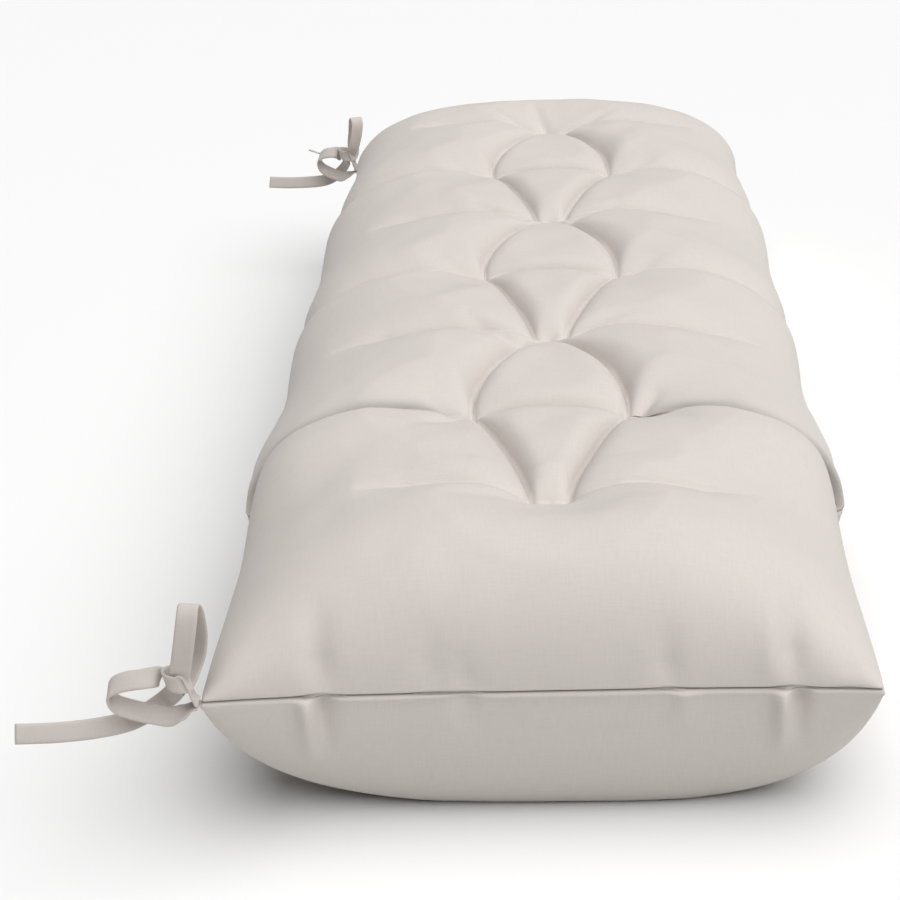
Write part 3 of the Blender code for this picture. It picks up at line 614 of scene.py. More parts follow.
def lines_along():
    """Places along the bench: close at the seams, by equal angles over the rolls, then even."""
    half = SEAM_LENGTH / 2
    rows = [row_at(r) for r in ROWS]
    angle = np.arange(SEAM_LINES) * SEAM_STEP / CROWN
    angle = np.concatenate([angle, np.linspace(angle[-1], np.pi / 2, ROLL_LINES + 1)[1:]])
    inward = END_ROLL_TOP * (1 - np.cos(angle))
    flat = np.linspace(END_ROLL_TOP, rows[0] + half, FLAT_LINES + 1)[1:]
    near = np.concatenate([inward, flat]) - half
    lines = list(near)
    for a, b, there in zip(rows[:-1], rows[1:], ROWS[1:]):
        t = np.linspace(0, 1, ROW_LINES + 1)[1:]
        crowding = 0.0 if there.aside else LONE_CROWDING
        lines += list(a + (b - a) * (t + crowding * t * (1 - t)))
    lines += list(half - (near[:-1][::-1] + half))
    deep = row_at(row_named(DEEP_ROW))
    clear = DEEP_LINES[-1] + LINE_ROOM
    lines = [x for x in lines if abs(x - deep) < HAIR or abs(x - deep) > clear]
    lines += [deep + side * step for side in (-1, 1) for step in DEEP_LINES]
    return np.array(sorted(lines))


def lines_across():
    """Places across it, as shares: spaced by length along the curve of the section.

    The cube crowds the measuring points at the side, where the curve is steep.  The square
    moves the middle over to the line of the tufts and leaves the seams in place.
    """
    share = 1 - (1 - np.linspace(0, 1, MEASURE_POINTS)) ** 3
    length = np.concatenate([[0], np.cumsum(np.hypot(
        np.diff(share * SEAM_WIDTH / 2), np.diff(CROWN * section(share, MEASURE_SWELL))))])
    wall = length[-1] - np.arange(SEAM_LINES)[::-1] * SEAM_STEP
    steps, start = [], 0.0
    for stretch in STRETCHES:
        end = min(stretch.until, wall[0])
        count = max(1, round((end - start) / stretch.step))
        steps += list(np.linspace(start, end, count + 1)[:-1])
        start = end
    steps = np.interp(np.concatenate([steps, wall]), length, share)
    shares = np.concatenate([-steps[:0:-1], steps])
    return shares + TUFT_SHIFT / (SEAM_WIDTH / 2) * (1 - np.abs(shares) ** 2)


ALONG, ACROSS = lines_along(), lines_across()
print(len(ALONG), "lines along the bench,", len(ACROSS), "across it")

# %% Grid bent onto the creases
MOVED_LINES = 6                        # lines on each side of a crease that share its move
SWEEP_SPAN = 0.12                      # how far from its row a fold's swing dies out


def onto_creases(xs, shares):
    """The shares at each x, with the nearest line on each side moved onto its crease.

    The lines beside it take a part of its move, down to none at the sixth.
    """
    grid = np.tile(shares, (len(xs), 1))
    numbers = np.arange(len(shares))
    for line, aside in zip(grid, crease_aside(xs)):
        at = (TUFT_SHIFT + np.array([-aside, aside])) / (SEAM_WIDTH / 2)
        a, b = [int(np.argmin(np.abs(shares - place))) for place in at]
        if a < b:
            move_a, move_b = at - shares[[a, b]]
            gap = min(MOVED_LINES, (b - a) / 2)
            between = 0 if gap == MOVED_LINES else (move_a + move_b) / 2
            line += np.interp(numbers, [a - MOVED_LINES, a, a + gap, b - gap, b, b + MOVED_LINES],
                              [0, move_a, between, between, move_b, 0])
    return grid


def swept(x, share):
    """Moves the grid lines beside a row so that one of them lies along each side crease."""
    out = x.copy()
    for fold in FOLDS:
        row = row_named(fold.row)
        past = (share * fold.back * SEAM_WIDTH / 2 - row.aside) / (SEAM_WIDTH / 2 - row.aside)
        beside = np.clip(1 - np.abs(x - row_at(row)) / SWEEP_SPAN, 0, 1)
        out += sweep_of(fold, past) * beside
    return out


SHARE = onto_creases(ALONG, ACROSS)
STRAIGHT = np.repeat(ALONG[:, None], SHARE.shape[1], axis=1)
X = swept(STRAIGHT, SHARE)
print("grid of", X.shape, "points a panel")

# %% [markdown]
# ## One panel
# The smooth panel, with every dent taken off along its normals, and then what sewing does to the
# edge: a groove at the seam, a lip of turned cloth just under it, and a small lift at each
# gather.  No crease reaches the seam itself, so the two panels meet there to a hundredth of a
# millimetre.

# %% Panel
EDGE_POWER, UNDER_RIPPLE = 0.35, 0.3   # how soon dents are whole from the seam; waves underneath
SEAM_REACH = 0.004                     # how far in from the seam the groove and the lip reach
SEAM_TUCK, SEAM_TUCK_HALF = 0.0017, 0.0008     # depth and half width of the groove
SEAM_LIP, LIP_AT, LIP_HALF = 0.0007, 0.0030, 0.0014    # how far out, how far down, half width
SEAM_LIFT, LIFT_HALF, LIFT_TALL = 0.0007, 0.010, 0.012 # a gather's lift, half width, height
OFF_SEAM = 0.0001                      # the least height of a point that isn't on the seam
NO_LENGTH = 1e-12                      # added so that no normal is divided by nothing


def normals(points):
    """The cross product of the grid's two directions at each point, made one long."""
    normal = np.cross(np.gradient(points, axis=0), np.gradient(points, axis=1))
    return normal / (np.linalg.norm(normal, axis=-1, keepdims=True) + NO_LENGTH)


def panel(x, share, straight, above):
    """The smooth panel minus its dents along the normals, with the sewn edge, above the floor."""
    points, y, level = smooth_panel(x, share, straight, above)
    height = points[..., 2].copy()
    edge = level ** EDGE_POWER
    if above:
        dent = top_dent(x, y) * edge + small_creases(x, y) + ripples(x, y) * edge ** 2
    else:
        dent = under_dent(x, y) * edge + UNDER_RIPPLE * ripples(x, y) * edge ** 2
    on_seam = (np.abs(share) > 1 - HAIR) | (np.abs(x) > SEAM_LENGTH / 2 - HAIR)
    dent = np.where(on_seam, 0.0, dent + gather_dent(x, y, height, above))
    points = points - normals(points) * dent[..., None]

    # the groove, and under it the lip
    tuck = SEAM_TUCK * bell(height, SEAM_TUCK_HALF)
    if not above:
        tuck = tuck - SEAM_LIP * bell(height - LIP_AT, LIP_HALF)
    by_end = bell(SEAM_LENGTH / 2 - np.abs(x), SEAM_REACH)
    by_side = bell((1 - np.abs(share)) * (SEAM_WIDTH / 2), SEAM_REACH)
    points[..., 0] -= np.sign(x) * tuck * by_end
    points[..., 1] -= np.sign(share) * tuck * by_side

    # the lift of the gathers; what would sink below the floor lies flat on it
    z = np.where(on_seam, 0.0, np.maximum(points[..., 2], OFF_SEAM))
    lift = sum(SEAM_LIFT * bell(y - g.across, LIFT_HALF) * (np.sign(x) == g.end)
               for g in GATHERS if g.deep > 0) * by_end * bell(height, LIFT_TALL)
    points[..., 2] = np.maximum((z if above else -z) + lift + SEAM_HEIGHT, 0.0)
    return points


TOP, BOTTOM = panel(X, SHARE, STRAIGHT, True), panel(X, SHARE, STRAIGHT, False)
print("crest at", round(TOP[..., 2].max() * 1000), "mm; gap at the seam",
      round(float(np.abs(TOP[0] - BOTTOM[0]).max()) * 1000, 4), "mm")

# %% [markdown]
# ## From grids to one sewn mesh
# The ring of points on the seam belongs to the upper panel.  The lower one keeps only every
# other line inside it, since little of it shows, and a strip of triangles joins the two.
# Bridging two edge loops in Blender would do that too, but here each vertex keeps its number
# and so its place on the flat cloth, in metres.  The weave follows that place over every pad.

# %% Mesh helpers
def grid_quads(index):
    """Corners of every cell of a grid of vertex numbers, counter-clockwise from above."""
    return np.stack([index[:-1, :-1], index[1:, :-1], index[1:, 1:], index[:-1, 1:]],
                    -1).reshape(-1, 4)


def cut_valleys(points, cells):
    """Each cell as two triangles, cut along its lower, more level diagonal."""
    z = points[cells][..., 2]
    cost = [np.abs(z[:, a] - z[:, b]) + (z[:, a] + z[:, b]) / 2 for a, b in ((0, 2), (1, 3))]
    low = (cost[0] < cost[1])[:, None]
    first = np.where(low, cells[:, [0, 1, 2]], cells[:, [0, 1, 3]])
    second = np.where(low, cells[:, [0, 2, 3]], cells[:, [1, 2, 3]])
    return np.stack([first, second], 1).reshape(-1, 3)


def cloth_place(points):
    """Arc length along each grid line: a vertex's place on the flat panel, in metres.

    Along the bench it is the median of all lines, which keeps the threads across it straight.
    """
    step_u = np.linalg.norm(np.diff(points, axis=0), axis=-1)
    step_v = np.linalg.norm(np.diff(points, axis=1), axis=-1)
    u = np.vstack([np.zeros((1, points.shape[1])), np.cumsum(step_u, axis=0)])
    v = np.hstack([np.zeros((points.shape[0], 1)), np.cumsum(step_v, axis=1)])
    middle_u = np.median(u, axis=1)[:, None] + 0 * u
    middle = points.shape[1] // 2
    return np.stack([middle_u, v - v[:, middle:middle + 1]], -1)


def new_object(name, points, faces, uv=None, dark=None):
    """A smooth mesh object; dark: how much shade the canvas paints at each vertex."""
    mesh = bpy.data.meshes.new(name)
    mesh.from_pydata(points.tolist(), [], [list(map(int, f)) for f in faces])
    mesh.polygons.foreach_set("use_smooth", [True] * len(mesh.polygons))
    if uv is not None:
        layer = mesh.uv_layers.new(name="cloth")
        layer.data.foreach_set("uv", np.asarray(uv, dtype=np.float32).ravel())
    if dark is not None:
        # the attribute is named seam, but it holds painted shade: in the seam's groove and in the
        # deep folds
        mesh.attributes.new("seam", "FLOAT", "POINT").data.foreach_set("value", dark)
    mesh.update()
    obj = bpy.data.objects.new(name, mesh)
    bpy.context.scene.collection.objects.link(obj)
    return obj


def every_other(count, kept):
    """Line numbers without the seam's own, and with only each second one in the middle."""
    return np.array([k for k in range(1, count - 1)
                     if k % 2 == 1 or k < kept or k >= count - kept])


def zip_sides(outer, outer_at, inner, inner_at):
    """Triangles between two lines of vertices with different spacing, taken in order."""
    faces, a, b = [], 0, 0
    while a < len(outer) - 1 or b < len(inner) - 1:
        step_a = a < len(outer) - 1 and (b == len(inner) - 1
                                         or outer_at[a + 1] <= inner_at[b + 1])
        if step_a:
            faces.append((outer[a], outer[a + 1], inner[b]))
            a += 1
        else:
            faces.append((outer[a], inner[b + 1], inner[b]))
            b += 1
    return faces


print("the lower panel keeps", len(every_other(len(ALONG), SEAM_LINES + ROLL_LINES)), "of",
      len(ALONG), "lines")

# %% Sew the cover
SIDE_LINES = 34                        # the lower panel keeps every line this near to a side
CLOTH_ASIDE = 0.9                      # where the lower panel lies on the flat cloth, metres
SEAM_SHADE_HALF = 0.0005                   # half the height of the painted shade line in the seam's groove


def sew(name, top, bottom):
    """Joins the two panels all the way round; the lower one has fewer lines."""
    n, m = top.shape[:2]
    above = np.arange(n * m).reshape(n, m)
    along = every_other(n, SEAM_LINES + ROLL_LINES)
    across = every_other(m, SIDE_LINES)
    below = n * m + np.arange(len(along) * len(across)).reshape(len(along), len(across))
    points = np.vstack([top.reshape(-1, 3), bottom[np.ix_(along, across)].reshape(-1, 3)])
    faces = [tuple(c) for c in cut_valleys(points, grid_quads(above))]
    count_top = len(faces)
    faces += [tuple(c[::-1]) for c in grid_quads(below)]
    all_n, all_m = np.arange(n), np.arange(m)
    faces += [f[::-1] for f in zip_sides(above[:, 0], all_n, below[:, 0], along)]
    faces += zip_sides(above[:, -1], all_n, below[:, -1], along)
    faces += zip_sides(above[0], all_m, below[0], across)
    faces += [f[::-1] for f in zip_sides(above[-1], all_m, below[-1], across)]
    # the triangles that join them take both ends from the lower panel's place on the cloth
    uv_top, uv_bottom = cloth_place(top), cloth_place(bottom) + (0.0, CLOTH_ASIDE)
    place = np.vstack([uv_top.reshape(-1, 2), uv_bottom[np.ix_(along, across)].reshape(-1, 2)])
    under = np.vstack([uv_bottom.reshape(-1, 2), place[n * m:]])
    uv = [place[list(f)] for f in faces[:count_top]] + [under[list(f)] for f in faces[count_top:]]
    # the shade that the canvas paints: in the seam's groove, and in the deep folds of the top
    dark = bell(points[:, 2] - SEAM_HEIGHT, SEAM_SHADE_HALF)
    aside = SHARE * SEAM_WIDTH / 2 - TUFT_SHIFT
    dark[:n * m] = np.maximum(dark[:n * m], SHADE * fold_shade(X, aside).ravel())
    return new_object(name, points, faces, np.vstack(uv), dark.astype(np.float32))


cushion = sew("cushion_cover", TOP, BOTTOM)
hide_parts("cushion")
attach(cushion, "root")
print(sum(len(p.vertices) - 2 for p in cushion.data.polygons), "triangles")

# %% [markdown]
# ## Ties
# Each tie is a strip of folded tape.  It is carried along a smooth curve through a few stations.
# A station gives its place from the seam corner in mm, and the way the strip's width lies.  A
# rope or cloth simulation could tie the bow, but it would seldom come to rest in the shape that
# hands have pulled, so the stations are listed one by one.

# %% Stations of the strips
TAPE_WIDTH, TAPE_THICK, CORNER_GAP = 12.2, 1.7, 0.55   # mm; the gap is that to the back seam

# out: away from the back edge; fore: towards the near end; up; then the way of the width
Bend = namedtuple("Bend", "out fore up w_out w_fore w_up")
STEM = (
    Bend(0.3, 0.0, 1.25, 0.0, 1.0, 0.0),
    Bend(1.6, 0.0, 2.4, 0.0, 1.0, 0.0),
    Bend(3.0, 1.0, 6.5, 0.0, 0.9, 0.3),
    Bend(4.5, 2.0, 13.0, 0.0, 0.9, 0.4),
    Bend(7.0, 3.0, 20.0, 0.1, 0.9, 0.4),
    Bend(10.5, 3.0, 22.0, 0.3, 0.9, 0.2),
)
UPRIGHT = (
    Bend(10.5, 4.0, 15.0, 1.0, 0.0, 0.1),
    Bend(7.0, 7.0, 28.0, 1.0, 0.0, 0.1),
    Bend(3.5, 9.0, 44.0, 1.0, 0.0, 0.0),
    Bend(0.8, 7.5, 59.0, 1.0, 0.0, 0.0),
    Bend(-0.2, 2.0, 65.6, 1.0, -0.1, 0.0),
    Bend(-1.4, -4.5, 60.0, 1.0, -0.3, 0.0),
    Bend(-2.2, -9.5, 44.0, 0.9, -0.5, 0.0),
    Bend(-0.4, -9.5, 29.0, 0.8, -0.5, 0.0),
    Bend(5.0, -4.0, 17.0, 0.9, -0.3, 0.0),
    Bend(9.0, 1.0, 11.0, 1.0, 0.0, 0.0),
)
LONG_END = (
    Bend(11.0, 1.0, 12.0, 0.6, -0.4, 0.7),
    Bend(16.0, -6.0, 4.0, 0.5, -0.5, 0.8),
    Bend(24.0, -11.0, -5.0, 0.3, -0.5, 0.9),
    Bend(34.0, -11.0, -12.0, 0.1, -0.5, 0.9),
    Bend(46.0, -7.0, -15.5, 0.0, -0.5, 0.9),
    Bend(64.0, -2.0, -16.5, 0.0, -0.5, 0.9),
    Bend(86.0, 0.0, -17.5, 0.0, -0.5, 0.9),
    Bend(109.5, 0.0, -18.0, 0.0, -0.5, 0.9),
)
ROUND_LOOP = (
    Bend(0.1, 0.0, -0.95, 0.0, 1.0, 0.0),
    Bend(4.0, 0.0, -1.9, 0.0, 1.0, 0.0),
    Bend(10.0, 2.0, -4.5, 0.4, 0.8, -0.5),
    Bend(17.0, 2.0, -7.0, 0.2, 0.7, -0.7),
    Bend(26.0, 1.0, -6.0, 0.0, 0.7, -0.7),
    Bend(37.0, 0.5, -3.5, 0.0, 0.7, -0.7),
    Bend(47.0, 1.0, 1.0, 0.0, 0.8, -0.6),
    Bend(51.3, 2.0, 7.5, 0.0, 0.9, -0.4),
    Bend(49.0, 3.0, 14.0, 0.0, 0.8, -0.6),
    Bend(41.0, 4.0, 18.0, 0.0, 0.7, -0.7),
    Bend(31.0, 4.0, 19.5, 0.0, 0.7, -0.7),
    Bend(23.5, 1.0, 19.0, 0.1, 0.6, -0.8),
    Bend(22.0, -5.5, 15.0, 0.4, 0.2, -0.8),
    Bend(25.5, -10.0, 13.5, 0.2, -0.2, -0.9),
)
SHORT_END_NEAR = (
    Bend(30.0, -11.0, 12.0, 0.0, -0.3, -0.9),
    Bend(37.0, -11.0, 10.5, 0.0, -0.3, -0.9),
    Bend(44.0, -10.0, 10.5, 0.0, -0.3, -0.9),
)
SHORT_END_FAR = (
    Bend(31.0, -11.5, 13.5, 0.0, -0.5, -0.8),
    Bend(42.0, -10.5, 13.0, 0.0, -0.9, -0.4),
    Bend(56.0, -7.0, 18.0, 0.0, -0.9, -0.4),
)

# end: -1 the near corner; turn: swung about the upright, degrees; tall, round, tail: its upright
# loop, round loop and long end as shares of the tables' sizes; twist: the upright loop turned on
# its own axis, degrees; short: its short end
Bow = namedtuple("Bow", "name end turn tall twist round tail short")
BOWS = (
    Bow("near", -1, 0.0, 1.00, 0.0, 1.00, 1.00, SHORT_END_NEAR),
    Bow("far", +1, 14.0, 0.82, -42.0, 0.74, 0.90, SHORT_END_FAR),
)
print(len(BOWS), "bows, each with", len(STEM) + len(UPRIGHT) + len(LONG_END) + len(ROUND_LOOP),
      "stations and its short end")

# %% Strip functions
STEPS, WRAP_STEPS = 12, 3              # points from one station to the next
TAPE_CURL, WRAP_WIDTH = 0.25, 10.5     # mm: how far the edges lift; the width over the knot
PROFILE_POINTS, EDGE_THICK = 13, 0.18  # points across the tape; half thickness at its very edge


def smooth_path(rows, steps):
    """A smooth curve: each stretch is the cubic set by its two ends and their neighbours."""
    table = np.array(rows, dtype=float)
    padded = np.vstack([2 * table[0] - table[1], table, 2 * table[-1] - table[-2]])
    t = np.linspace(0, 1, steps, endpoint=False)[:, None]
    out = [0.5 * (2 * b + (c - a) * t + (2 * a - 5 * b + 4 * c - d) * t ** 2
                  + (3 * b - a - 3 * c + d) * t ** 3)
           for a, b, c, d in zip(padded[:-3], padded[1:-2], padded[2:-1], padded[3:])]
    return np.vstack(out + [padded[-2][None]])


def to_frame(local, bow):
    """From a corner's own out, fore, up in mm to the cushion's frame."""
    swing = np.radians(bow.turn)
    out = local[..., 0] * np.cos(swing) + local[..., 1] * np.sin(swing)
    fore = local[..., 1] * np.cos(swing) - local[..., 0] * np.sin(swing)
    place = np.stack([-fore, out, local[..., 2]], -1) / 1000.0
    return place + (bow.end * SEAM_LENGTH / 2, SEAM_WIDTH / 2 + CORNER_GAP / 1000, SEAM_HEIGHT)


def tape_profile(width, thick, curl):
    """A flat section with round edges: half of it is `sqrt(1 - s^10) / 2` of the thickness.

    The place across, s, runs from -1 to 1, and `curl * s^2` lifts the edges off the middle.
    """
    s = np.linspace(-1, 1, PROFILE_POINTS)
    side = np.sqrt(np.clip(1 - np.abs(s) ** 10, 0, 1)) * 0.5
    side[[0, -1]] = EDGE_THICK
    upper = np.stack([s * width / 2, side * thick + curl * s ** 2], -1)
    lower = np.stack([s[::-1] * width / 2, -side * thick + curl * s[::-1] ** 2], -1)
    return np.vstack([upper, lower])


print("stem", len(smooth_path(STEM, STEPS)), "rings of",
      len(tape_profile(TAPE_WIDTH, TAPE_THICK, TAPE_CURL)), "points")

# %% A strip of tape
def tape(name, rows, bow, steps=STEPS, width=TAPE_WIDTH):
    """A strip of tape swept along its stations, closed at both ends; and its length in metres."""
    path = smooth_path(rows, steps)
    centre, lie = path[:, :3], path[:, 3:]
    tangent = np.gradient(centre, axis=0)
    tangent /= np.linalg.norm(tangent, axis=1, keepdims=True)
    lie = lie - tangent * np.sum(lie * tangent, axis=1, keepdims=True)
    lie /= np.linalg.norm(lie, axis=1, keepdims=True)
    face = np.cross(tangent, lie)
    ring = tape_profile(width, TAPE_THICK, TAPE_CURL)
    local = centre[:, None] + lie[:, None] * ring[None, :, :1] + face[:, None] * ring[None, :, 1:]
    points = to_frame(local, bow)
    n, m = points.shape[:2]
    index = np.arange(n * m).reshape(n, m)
    wrapped = np.hstack([index, index[:, :1]])
    cells = grid_quads(wrapped)
    faces = [tuple(c) for c in cells] + [tuple(index[0]), tuple(index[-1][::-1])]
    length = np.concatenate([[0], np.cumsum(np.linalg.norm(np.diff(centre, axis=0), axis=1))])
    place = np.stack([np.repeat(length[:, None], m, 1), np.repeat(ring[None, :, 0], n, 0)],
                     -1).reshape(-1, 2) / 1000
    loops = np.concatenate([np.array(f) for f in faces])
    obj = new_object(name, points.reshape(-1, 3), faces, place[loops])
    return obj, length[-1] / 1000


print("the bows start at", [to_frame(np.zeros(3), bow).round(3).tolist() for bow in BOWS])

# %% The bow's own pieces
KNOT_UP, TWIST_RUN = 15, 12            # mm: the knot's height; how far above it the twist is whole
LOOP_OUT = 4                           # mm out: the axis that the upright loop turns on
TAIL_FROM, ROUND_FROM = 24, 17         # mm out: from here on a strip is made shorter
WRAP_TURN, WRAP_STATIONS = (-30, 380), 22              # degrees round the knot; stations
WRAP_AT, WRAP_REACH = (10.5, 2.5, 17.5), (7.0, 5.6, 1.6)       # mm: its middle, and its reach
WRAP_CLIMB, WRAP_LIE = 0.12, (0.25, 0.0, 1.0)          # mm each radian; the way of its width


def upright_loop(bow):
    """The upright loop at this bow's height, turned about a line through its knot."""
    rows = []
    for b in UPRIGHT:
        angle = np.radians(bow.twist) * min(1.0, max(0.0, (b.up - KNOT_UP) / TWIST_RUN))
        cos, sin = np.cos(angle), np.sin(angle)
        out = b.out - LOOP_OUT
        up = KNOT_UP + (b.up - KNOT_UP) * bow.tall if b.up > KNOT_UP else b.up
        rows.append(Bend(LOOP_OUT + out * cos + b.fore * sin, b.fore * cos - out * sin, up,
                         b.w_out * cos + b.w_fore * sin, b.w_fore * cos - b.w_out * sin, b.w_up))
    return rows


def resized(rows, start, share):
    """The stations farther out than start, drawn in to a share of their way from it."""
    return [b._replace(out=start + (b.out - start) * share) if b.out > start else b for b in rows]


def knot_wrap():
    """Once and a little more round the middle of the bow, as an ellipse with a slight climb."""
    (out, fore, up), (far_out, far_fore, far_up) = WRAP_AT, WRAP_REACH
    angle = np.radians(np.linspace(*WRAP_TURN, WRAP_STATIONS))
    return [Bend(out + far_out * np.cos(a), fore + far_fore * np.sin(a),
                 up + far_up * np.cos(a) + WRAP_CLIMB * a, *WRAP_LIE) for a in angle]


print("knot wrapped with", len(knot_wrap()), "stations")

# %% Make the ties
tapes = []
for bow in BOWS:
    parts = {
        "stem": (STEM, TAPE_WIDTH, STEPS),
        "loop": (upright_loop(bow), TAPE_WIDTH, STEPS),
        "tail": (resized(LONG_END, TAIL_FROM, bow.tail), TAPE_WIDTH, STEPS),
        "wrap": (knot_wrap(), WRAP_WIDTH, WRAP_STEPS),
    }
    made = []
    for part, (rows, width, steps) in parts.items():
        obj, length = tape(f"tie_{bow.name}_{part}", rows, bow, steps, width)
        made.append(obj)
    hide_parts(f"strip_knotted_{bow.name}")
    obj, length = tape(f"tie_{bow.name}_round_loop",
                       resized(ROUND_LOOP, ROUND_FROM, bow.round) + list(bow.short), bow)
    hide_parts(f"strip_looped_{bow.name}")
    for piece in made + [obj]:
        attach(piece, "root")
        tapes.append(piece)
print(len(tapes), "pieces of tape")

# %% [markdown]
# ## Canvas
# The cover is matt cotton canvas, a plain weave: two families of threads at right angles, one
# over the other in turn.  The product of two sines gives its height.  Long, thin noise along each
# thread gives the slubs, its thicker places.  A picture of cloth could be used instead, but it
# would repeat, and the weave here follows the panel's own length.  The vertex attribute `seam`
# holds painted shade: it darkens the colour in the groove of the edge seam and in the deep folds,
# where little light gets in.

# %% Sizes and tones of the cloth
# Real canvas has about 0.5 mm from thread to thread; it is drawn a little coarser, to show
COVER_PITCH, TAPE_PITCH = 0.7, 0.6     # mm
COVER_BUMP, TAPE_BUMP = 0.10, 0.08     # mm of relief
SLUB_ALONG, SLUB_ACROSS = 70, 1400     # noise cells to the metre: 14 mm long and 0.7 mm thick
CLOUDS, GRAINS = 9.0, 420.0            # the same, for uneven bleaching, 110 mm, and lint, 2.4 mm
WEAVE_RELIEF, BUMP_STRENGTH = 0.5, 0.4 # the weave's height for one of slub; what shows of both
WEAVE_TONE, SLUB_TONE, CLOUD_TONE, GRAIN_TONE = 0.06, 0.5, 0.25, 0.25  # parts in the colour
TONES = (0.5, 1.0)                     # sums of those for the darkest and the lightest thread
DEEPEST, SHADOW = 0.90, 0.35           # how light the darkest thread is, and the painted shade in a seam groove or deep fold


def linear(hex_colour):
    """An sRGB hex colour as linear light."""
    parts = [int(hex_colour[i:i + 2], 16) / 255 for i in (1, 3, 5)]
    return [c / 12.92 if c <= 0.04045 else ((c + 0.055) / 1.055) ** 2.4 for c in parts] + [1.0]


def add(tree, kind, inputs=None, **settings):
    """Adds a node, sets its options, and links or sets its inputs."""
    node = tree.nodes.new(kind)
    for key, value in settings.items():
        setattr(node, key, value)
    for key, value in (inputs or {}).items():
        if isinstance(value, bpy.types.NodeSocket):
            tree.links.new(value, node.inputs[key])
        else:
            node.inputs[key].default_value = value
    return node


COVER_COLOUR, TAPE_COLOUR = "#cfc8c2", "#c6beb8"       # undyed cotton: a warm off-white
print("the cover reflects", [round(c, 2) for c in linear(COVER_COLOUR)[:3]], "of the light")

# %% Cotton canvas
def canvas(name, colour, pitch_mm, bump_mm):
    """Matt cotton canvas: the weave catches the light softly, with no gloss."""
    mat = bpy.data.materials.new(name)
    mat.use_nodes = True
    tree = mat.node_tree
    shader = tree.nodes["Principled BSDF"]
    uv = add(tree, "ShaderNodeUVMap", uv_map="cloth").outputs["UV"]
    split = add(tree, "ShaderNodeSeparateXYZ", {0: uv})
    turn = 2 * math.pi / (pitch_mm / 1000)
    threads = []
    for axis in ("X", "Y"):
        angle = add(tree, "ShaderNodeMath", {0: split.outputs[axis], 1: turn},
                    operation="MULTIPLY").outputs[0]
        threads.append(add(tree, "ShaderNodeMath", {0: angle}, operation="SINE").outputs[0])
    weave = add(tree, "ShaderNodeMath", {0: threads[0], 1: threads[1]},
                operation="MULTIPLY").outputs[0]
    slubs = []
    for scale in ((SLUB_ALONG, SLUB_ACROSS, 1), (SLUB_ACROSS, SLUB_ALONG, 1)):
        stretched = add(tree, "ShaderNodeMapping", {"Vector": uv, "Scale": scale}).outputs[0]
        slubs.append(add(tree, "ShaderNodeTexNoise", {"Vector": stretched, "Scale": 1.0,
                                                      "Detail": 2.0}).outputs["Fac"])
    slub = add(tree, "ShaderNodeMath", {0: slubs[0], 1: slubs[1]}, operation="ADD").outputs[0]
    where = add(tree, "ShaderNodeTexCoord").outputs["Object"]
    cloud = add(tree, "ShaderNodeTexNoise", {"Vector": where, "Scale": CLOUDS, "Detail": 4.0,
                                             "Roughness": 0.6}).outputs["Fac"]
    grain = add(tree, "ShaderNodeTexNoise", {"Vector": where, "Scale": GRAINS, "Detail": 3.0,
                                             "Roughness": 0.7}).outputs["Fac"]
    height = add(tree, "ShaderNodeMath", {0: weave, 1: WEAVE_RELIEF, 2: slub},
                 operation="MULTIPLY_ADD").outputs[0]
    tone = add(tree, "ShaderNodeMath", {0: weave, 1: WEAVE_TONE}, operation="MULTIPLY").outputs[0]
    for layer, part in ((slub, SLUB_TONE), (cloud, CLOUD_TONE), (grain, GRAIN_TONE)):
        tone = add(tree, "ShaderNodeMath", {0: layer, 1: part, 2: tone},
                   operation="MULTIPLY_ADD").outputs[0]
    # painted shade: the seam attribute mixes the cloth towards the shadow colour in the seam's
    # groove and the deep folds
    seam = add(tree, "ShaderNodeAttribute", attribute_name="seam").outputs["Fac"]
    light = linear(colour)
    deep, shadow = [[c * share for c in light[:3]] + [1.0] for share in (DEEPEST, SHADOW)]
    ramp = add(tree, "ShaderNodeMapRange", {"Value": tone, "From Min": TONES[0],
                                            "From Max": TONES[1]})
    mix = add(tree, "ShaderNodeMix", {"Factor": ramp.outputs[0], "A": deep, "B": light},
              data_type="RGBA")
    cloth = [o for o in mix.outputs if o.type == "RGBA"][0]
    sewn = add(tree, "ShaderNodeMix", {"Factor": seam, "A": cloth, "B": shadow},
               data_type="RGBA")
    tree.links.new([o for o in sewn.outputs if o.type == "RGBA"][0], shader.inputs["Base Color"])
    bump = add(tree, "ShaderNodeBump", {"Height": height, "Strength": BUMP_STRENGTH,
                                        "Distance": bump_mm / 1000})
    tree.links.new(bump.outputs["Normal"], shader.inputs["Normal"])
    # loose fibres scatter the light, and catch a little of it where the cloth turns away
    for socket, value in (("Roughness", 0.92), ("Specular IOR Level", 0.2),
                          ("Sheen Weight", 0.15), ("Sheen Roughness", 0.6)):
        shader.inputs[socket].default_value = value
    return mat


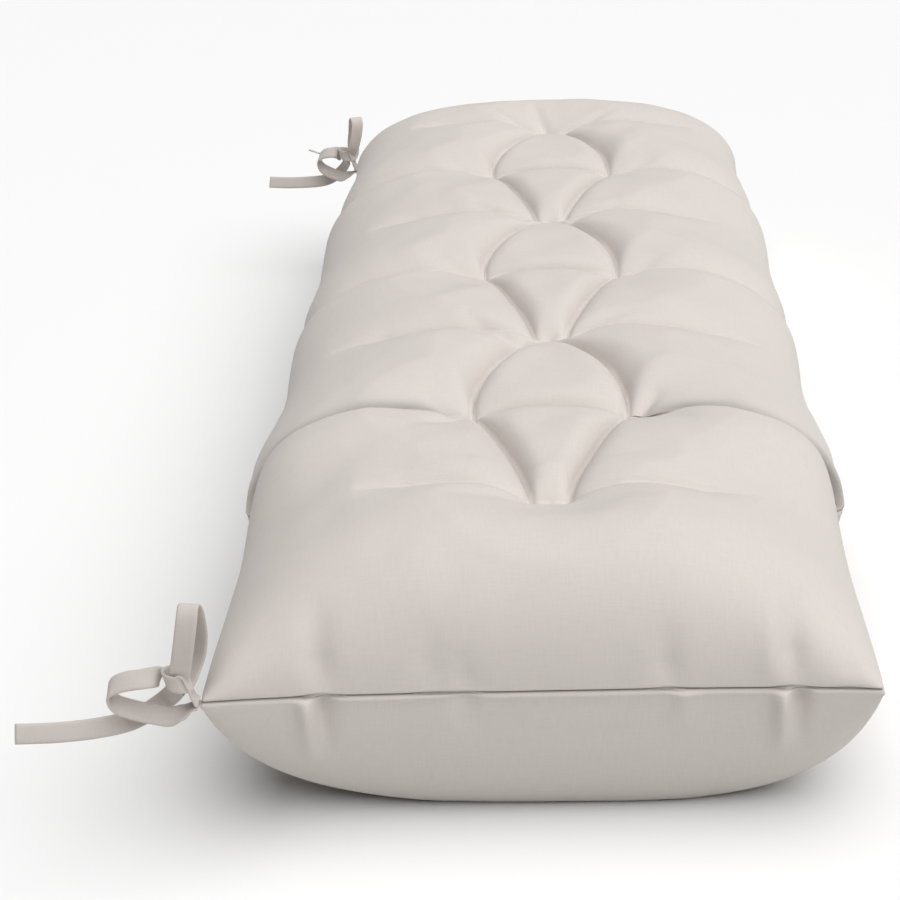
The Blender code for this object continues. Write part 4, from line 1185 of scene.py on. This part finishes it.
cotton_canvas = canvas("cotton canvas", COVER_COLOUR, COVER_PITCH, COVER_BUMP)
cotton_tape = canvas("cotton tape", TAPE_COLOUR, TAPE_PITCH, TAPE_BUMP)
cushion.data.materials.append(cotton_canvas)
for piece in tapes:
    piece.data.materials.append(cotton_tape)
print(cotton_canvas.name, "and", cotton_tape.name, "with", len(cotton_canvas.node_tree.nodes),
      "nodes each")

# %% [markdown]
# ## Floor and light
# A plain pale floor, and a lamp like a very wide soft box far off: high above, in front of the
# front edge and towards the near end.  An area lamp close by would leave the far floor darker.
# A sun lamp lights the whole floor alike, and its wide angle keeps the shadows soft.

# %% Floor and light
FLOOR_SIZE, FLOOR_DROP = 12, 0.0005    # metres
SUN_WIDTH, SUN_POWER = 86, 3.9         # degrees of sky that it fills; watts per square metre
SUN_AT = (-0.60, -0.82, 2.8)           # its light falls from here towards the origin
SKY_POWER = 0.05                       # a little white light from all round


def studio():
    """Matt white floor paint: it gives an even ground and a soft shadow, with no reflection."""
    bpy.ops.mesh.primitive_plane_add(size=FLOOR_SIZE, location=(0, 0, -FLOOR_DROP))
    floor = bpy.context.active_object
    floor.name = "floor"
    paint = bpy.data.materials.new("matt white floor paint")
    paint.use_nodes = True
    shader = paint.node_tree.nodes["Principled BSDF"]
    shader.inputs["Base Color"].default_value = linear("#e7e7e7")
    shader.inputs["Roughness"].default_value = 0.9
    floor.data.materials.append(paint)
    light = bpy.data.lights.new("soft light", "SUN")
    light.angle, light.energy = math.radians(SUN_WIDTH), SUN_POWER
    lamp = bpy.data.objects.new("soft light", light)
    bpy.context.scene.collection.objects.link(lamp)
    lamp.location = SUN_AT
    lamp.rotation_euler = (-lamp.location).to_track_quat("-Z", "Y").to_euler()
    world = bpy.data.worlds.new("soft sky")
    bpy.context.scene.world = world
    world.use_nodes = True
    sky = world.node_tree.nodes["Background"]
    sky.inputs["Color"].default_value = linear("#ffffff")
    sky.inputs["Strength"].default_value = SKY_POWER
    return lamp


lamp = studio()
bpy.context.scene.view_settings.view_transform = "Standard"
print("lamp at", [round(c, 2) for c in lamp.location], "filling", SUN_WIDTH, "degrees")
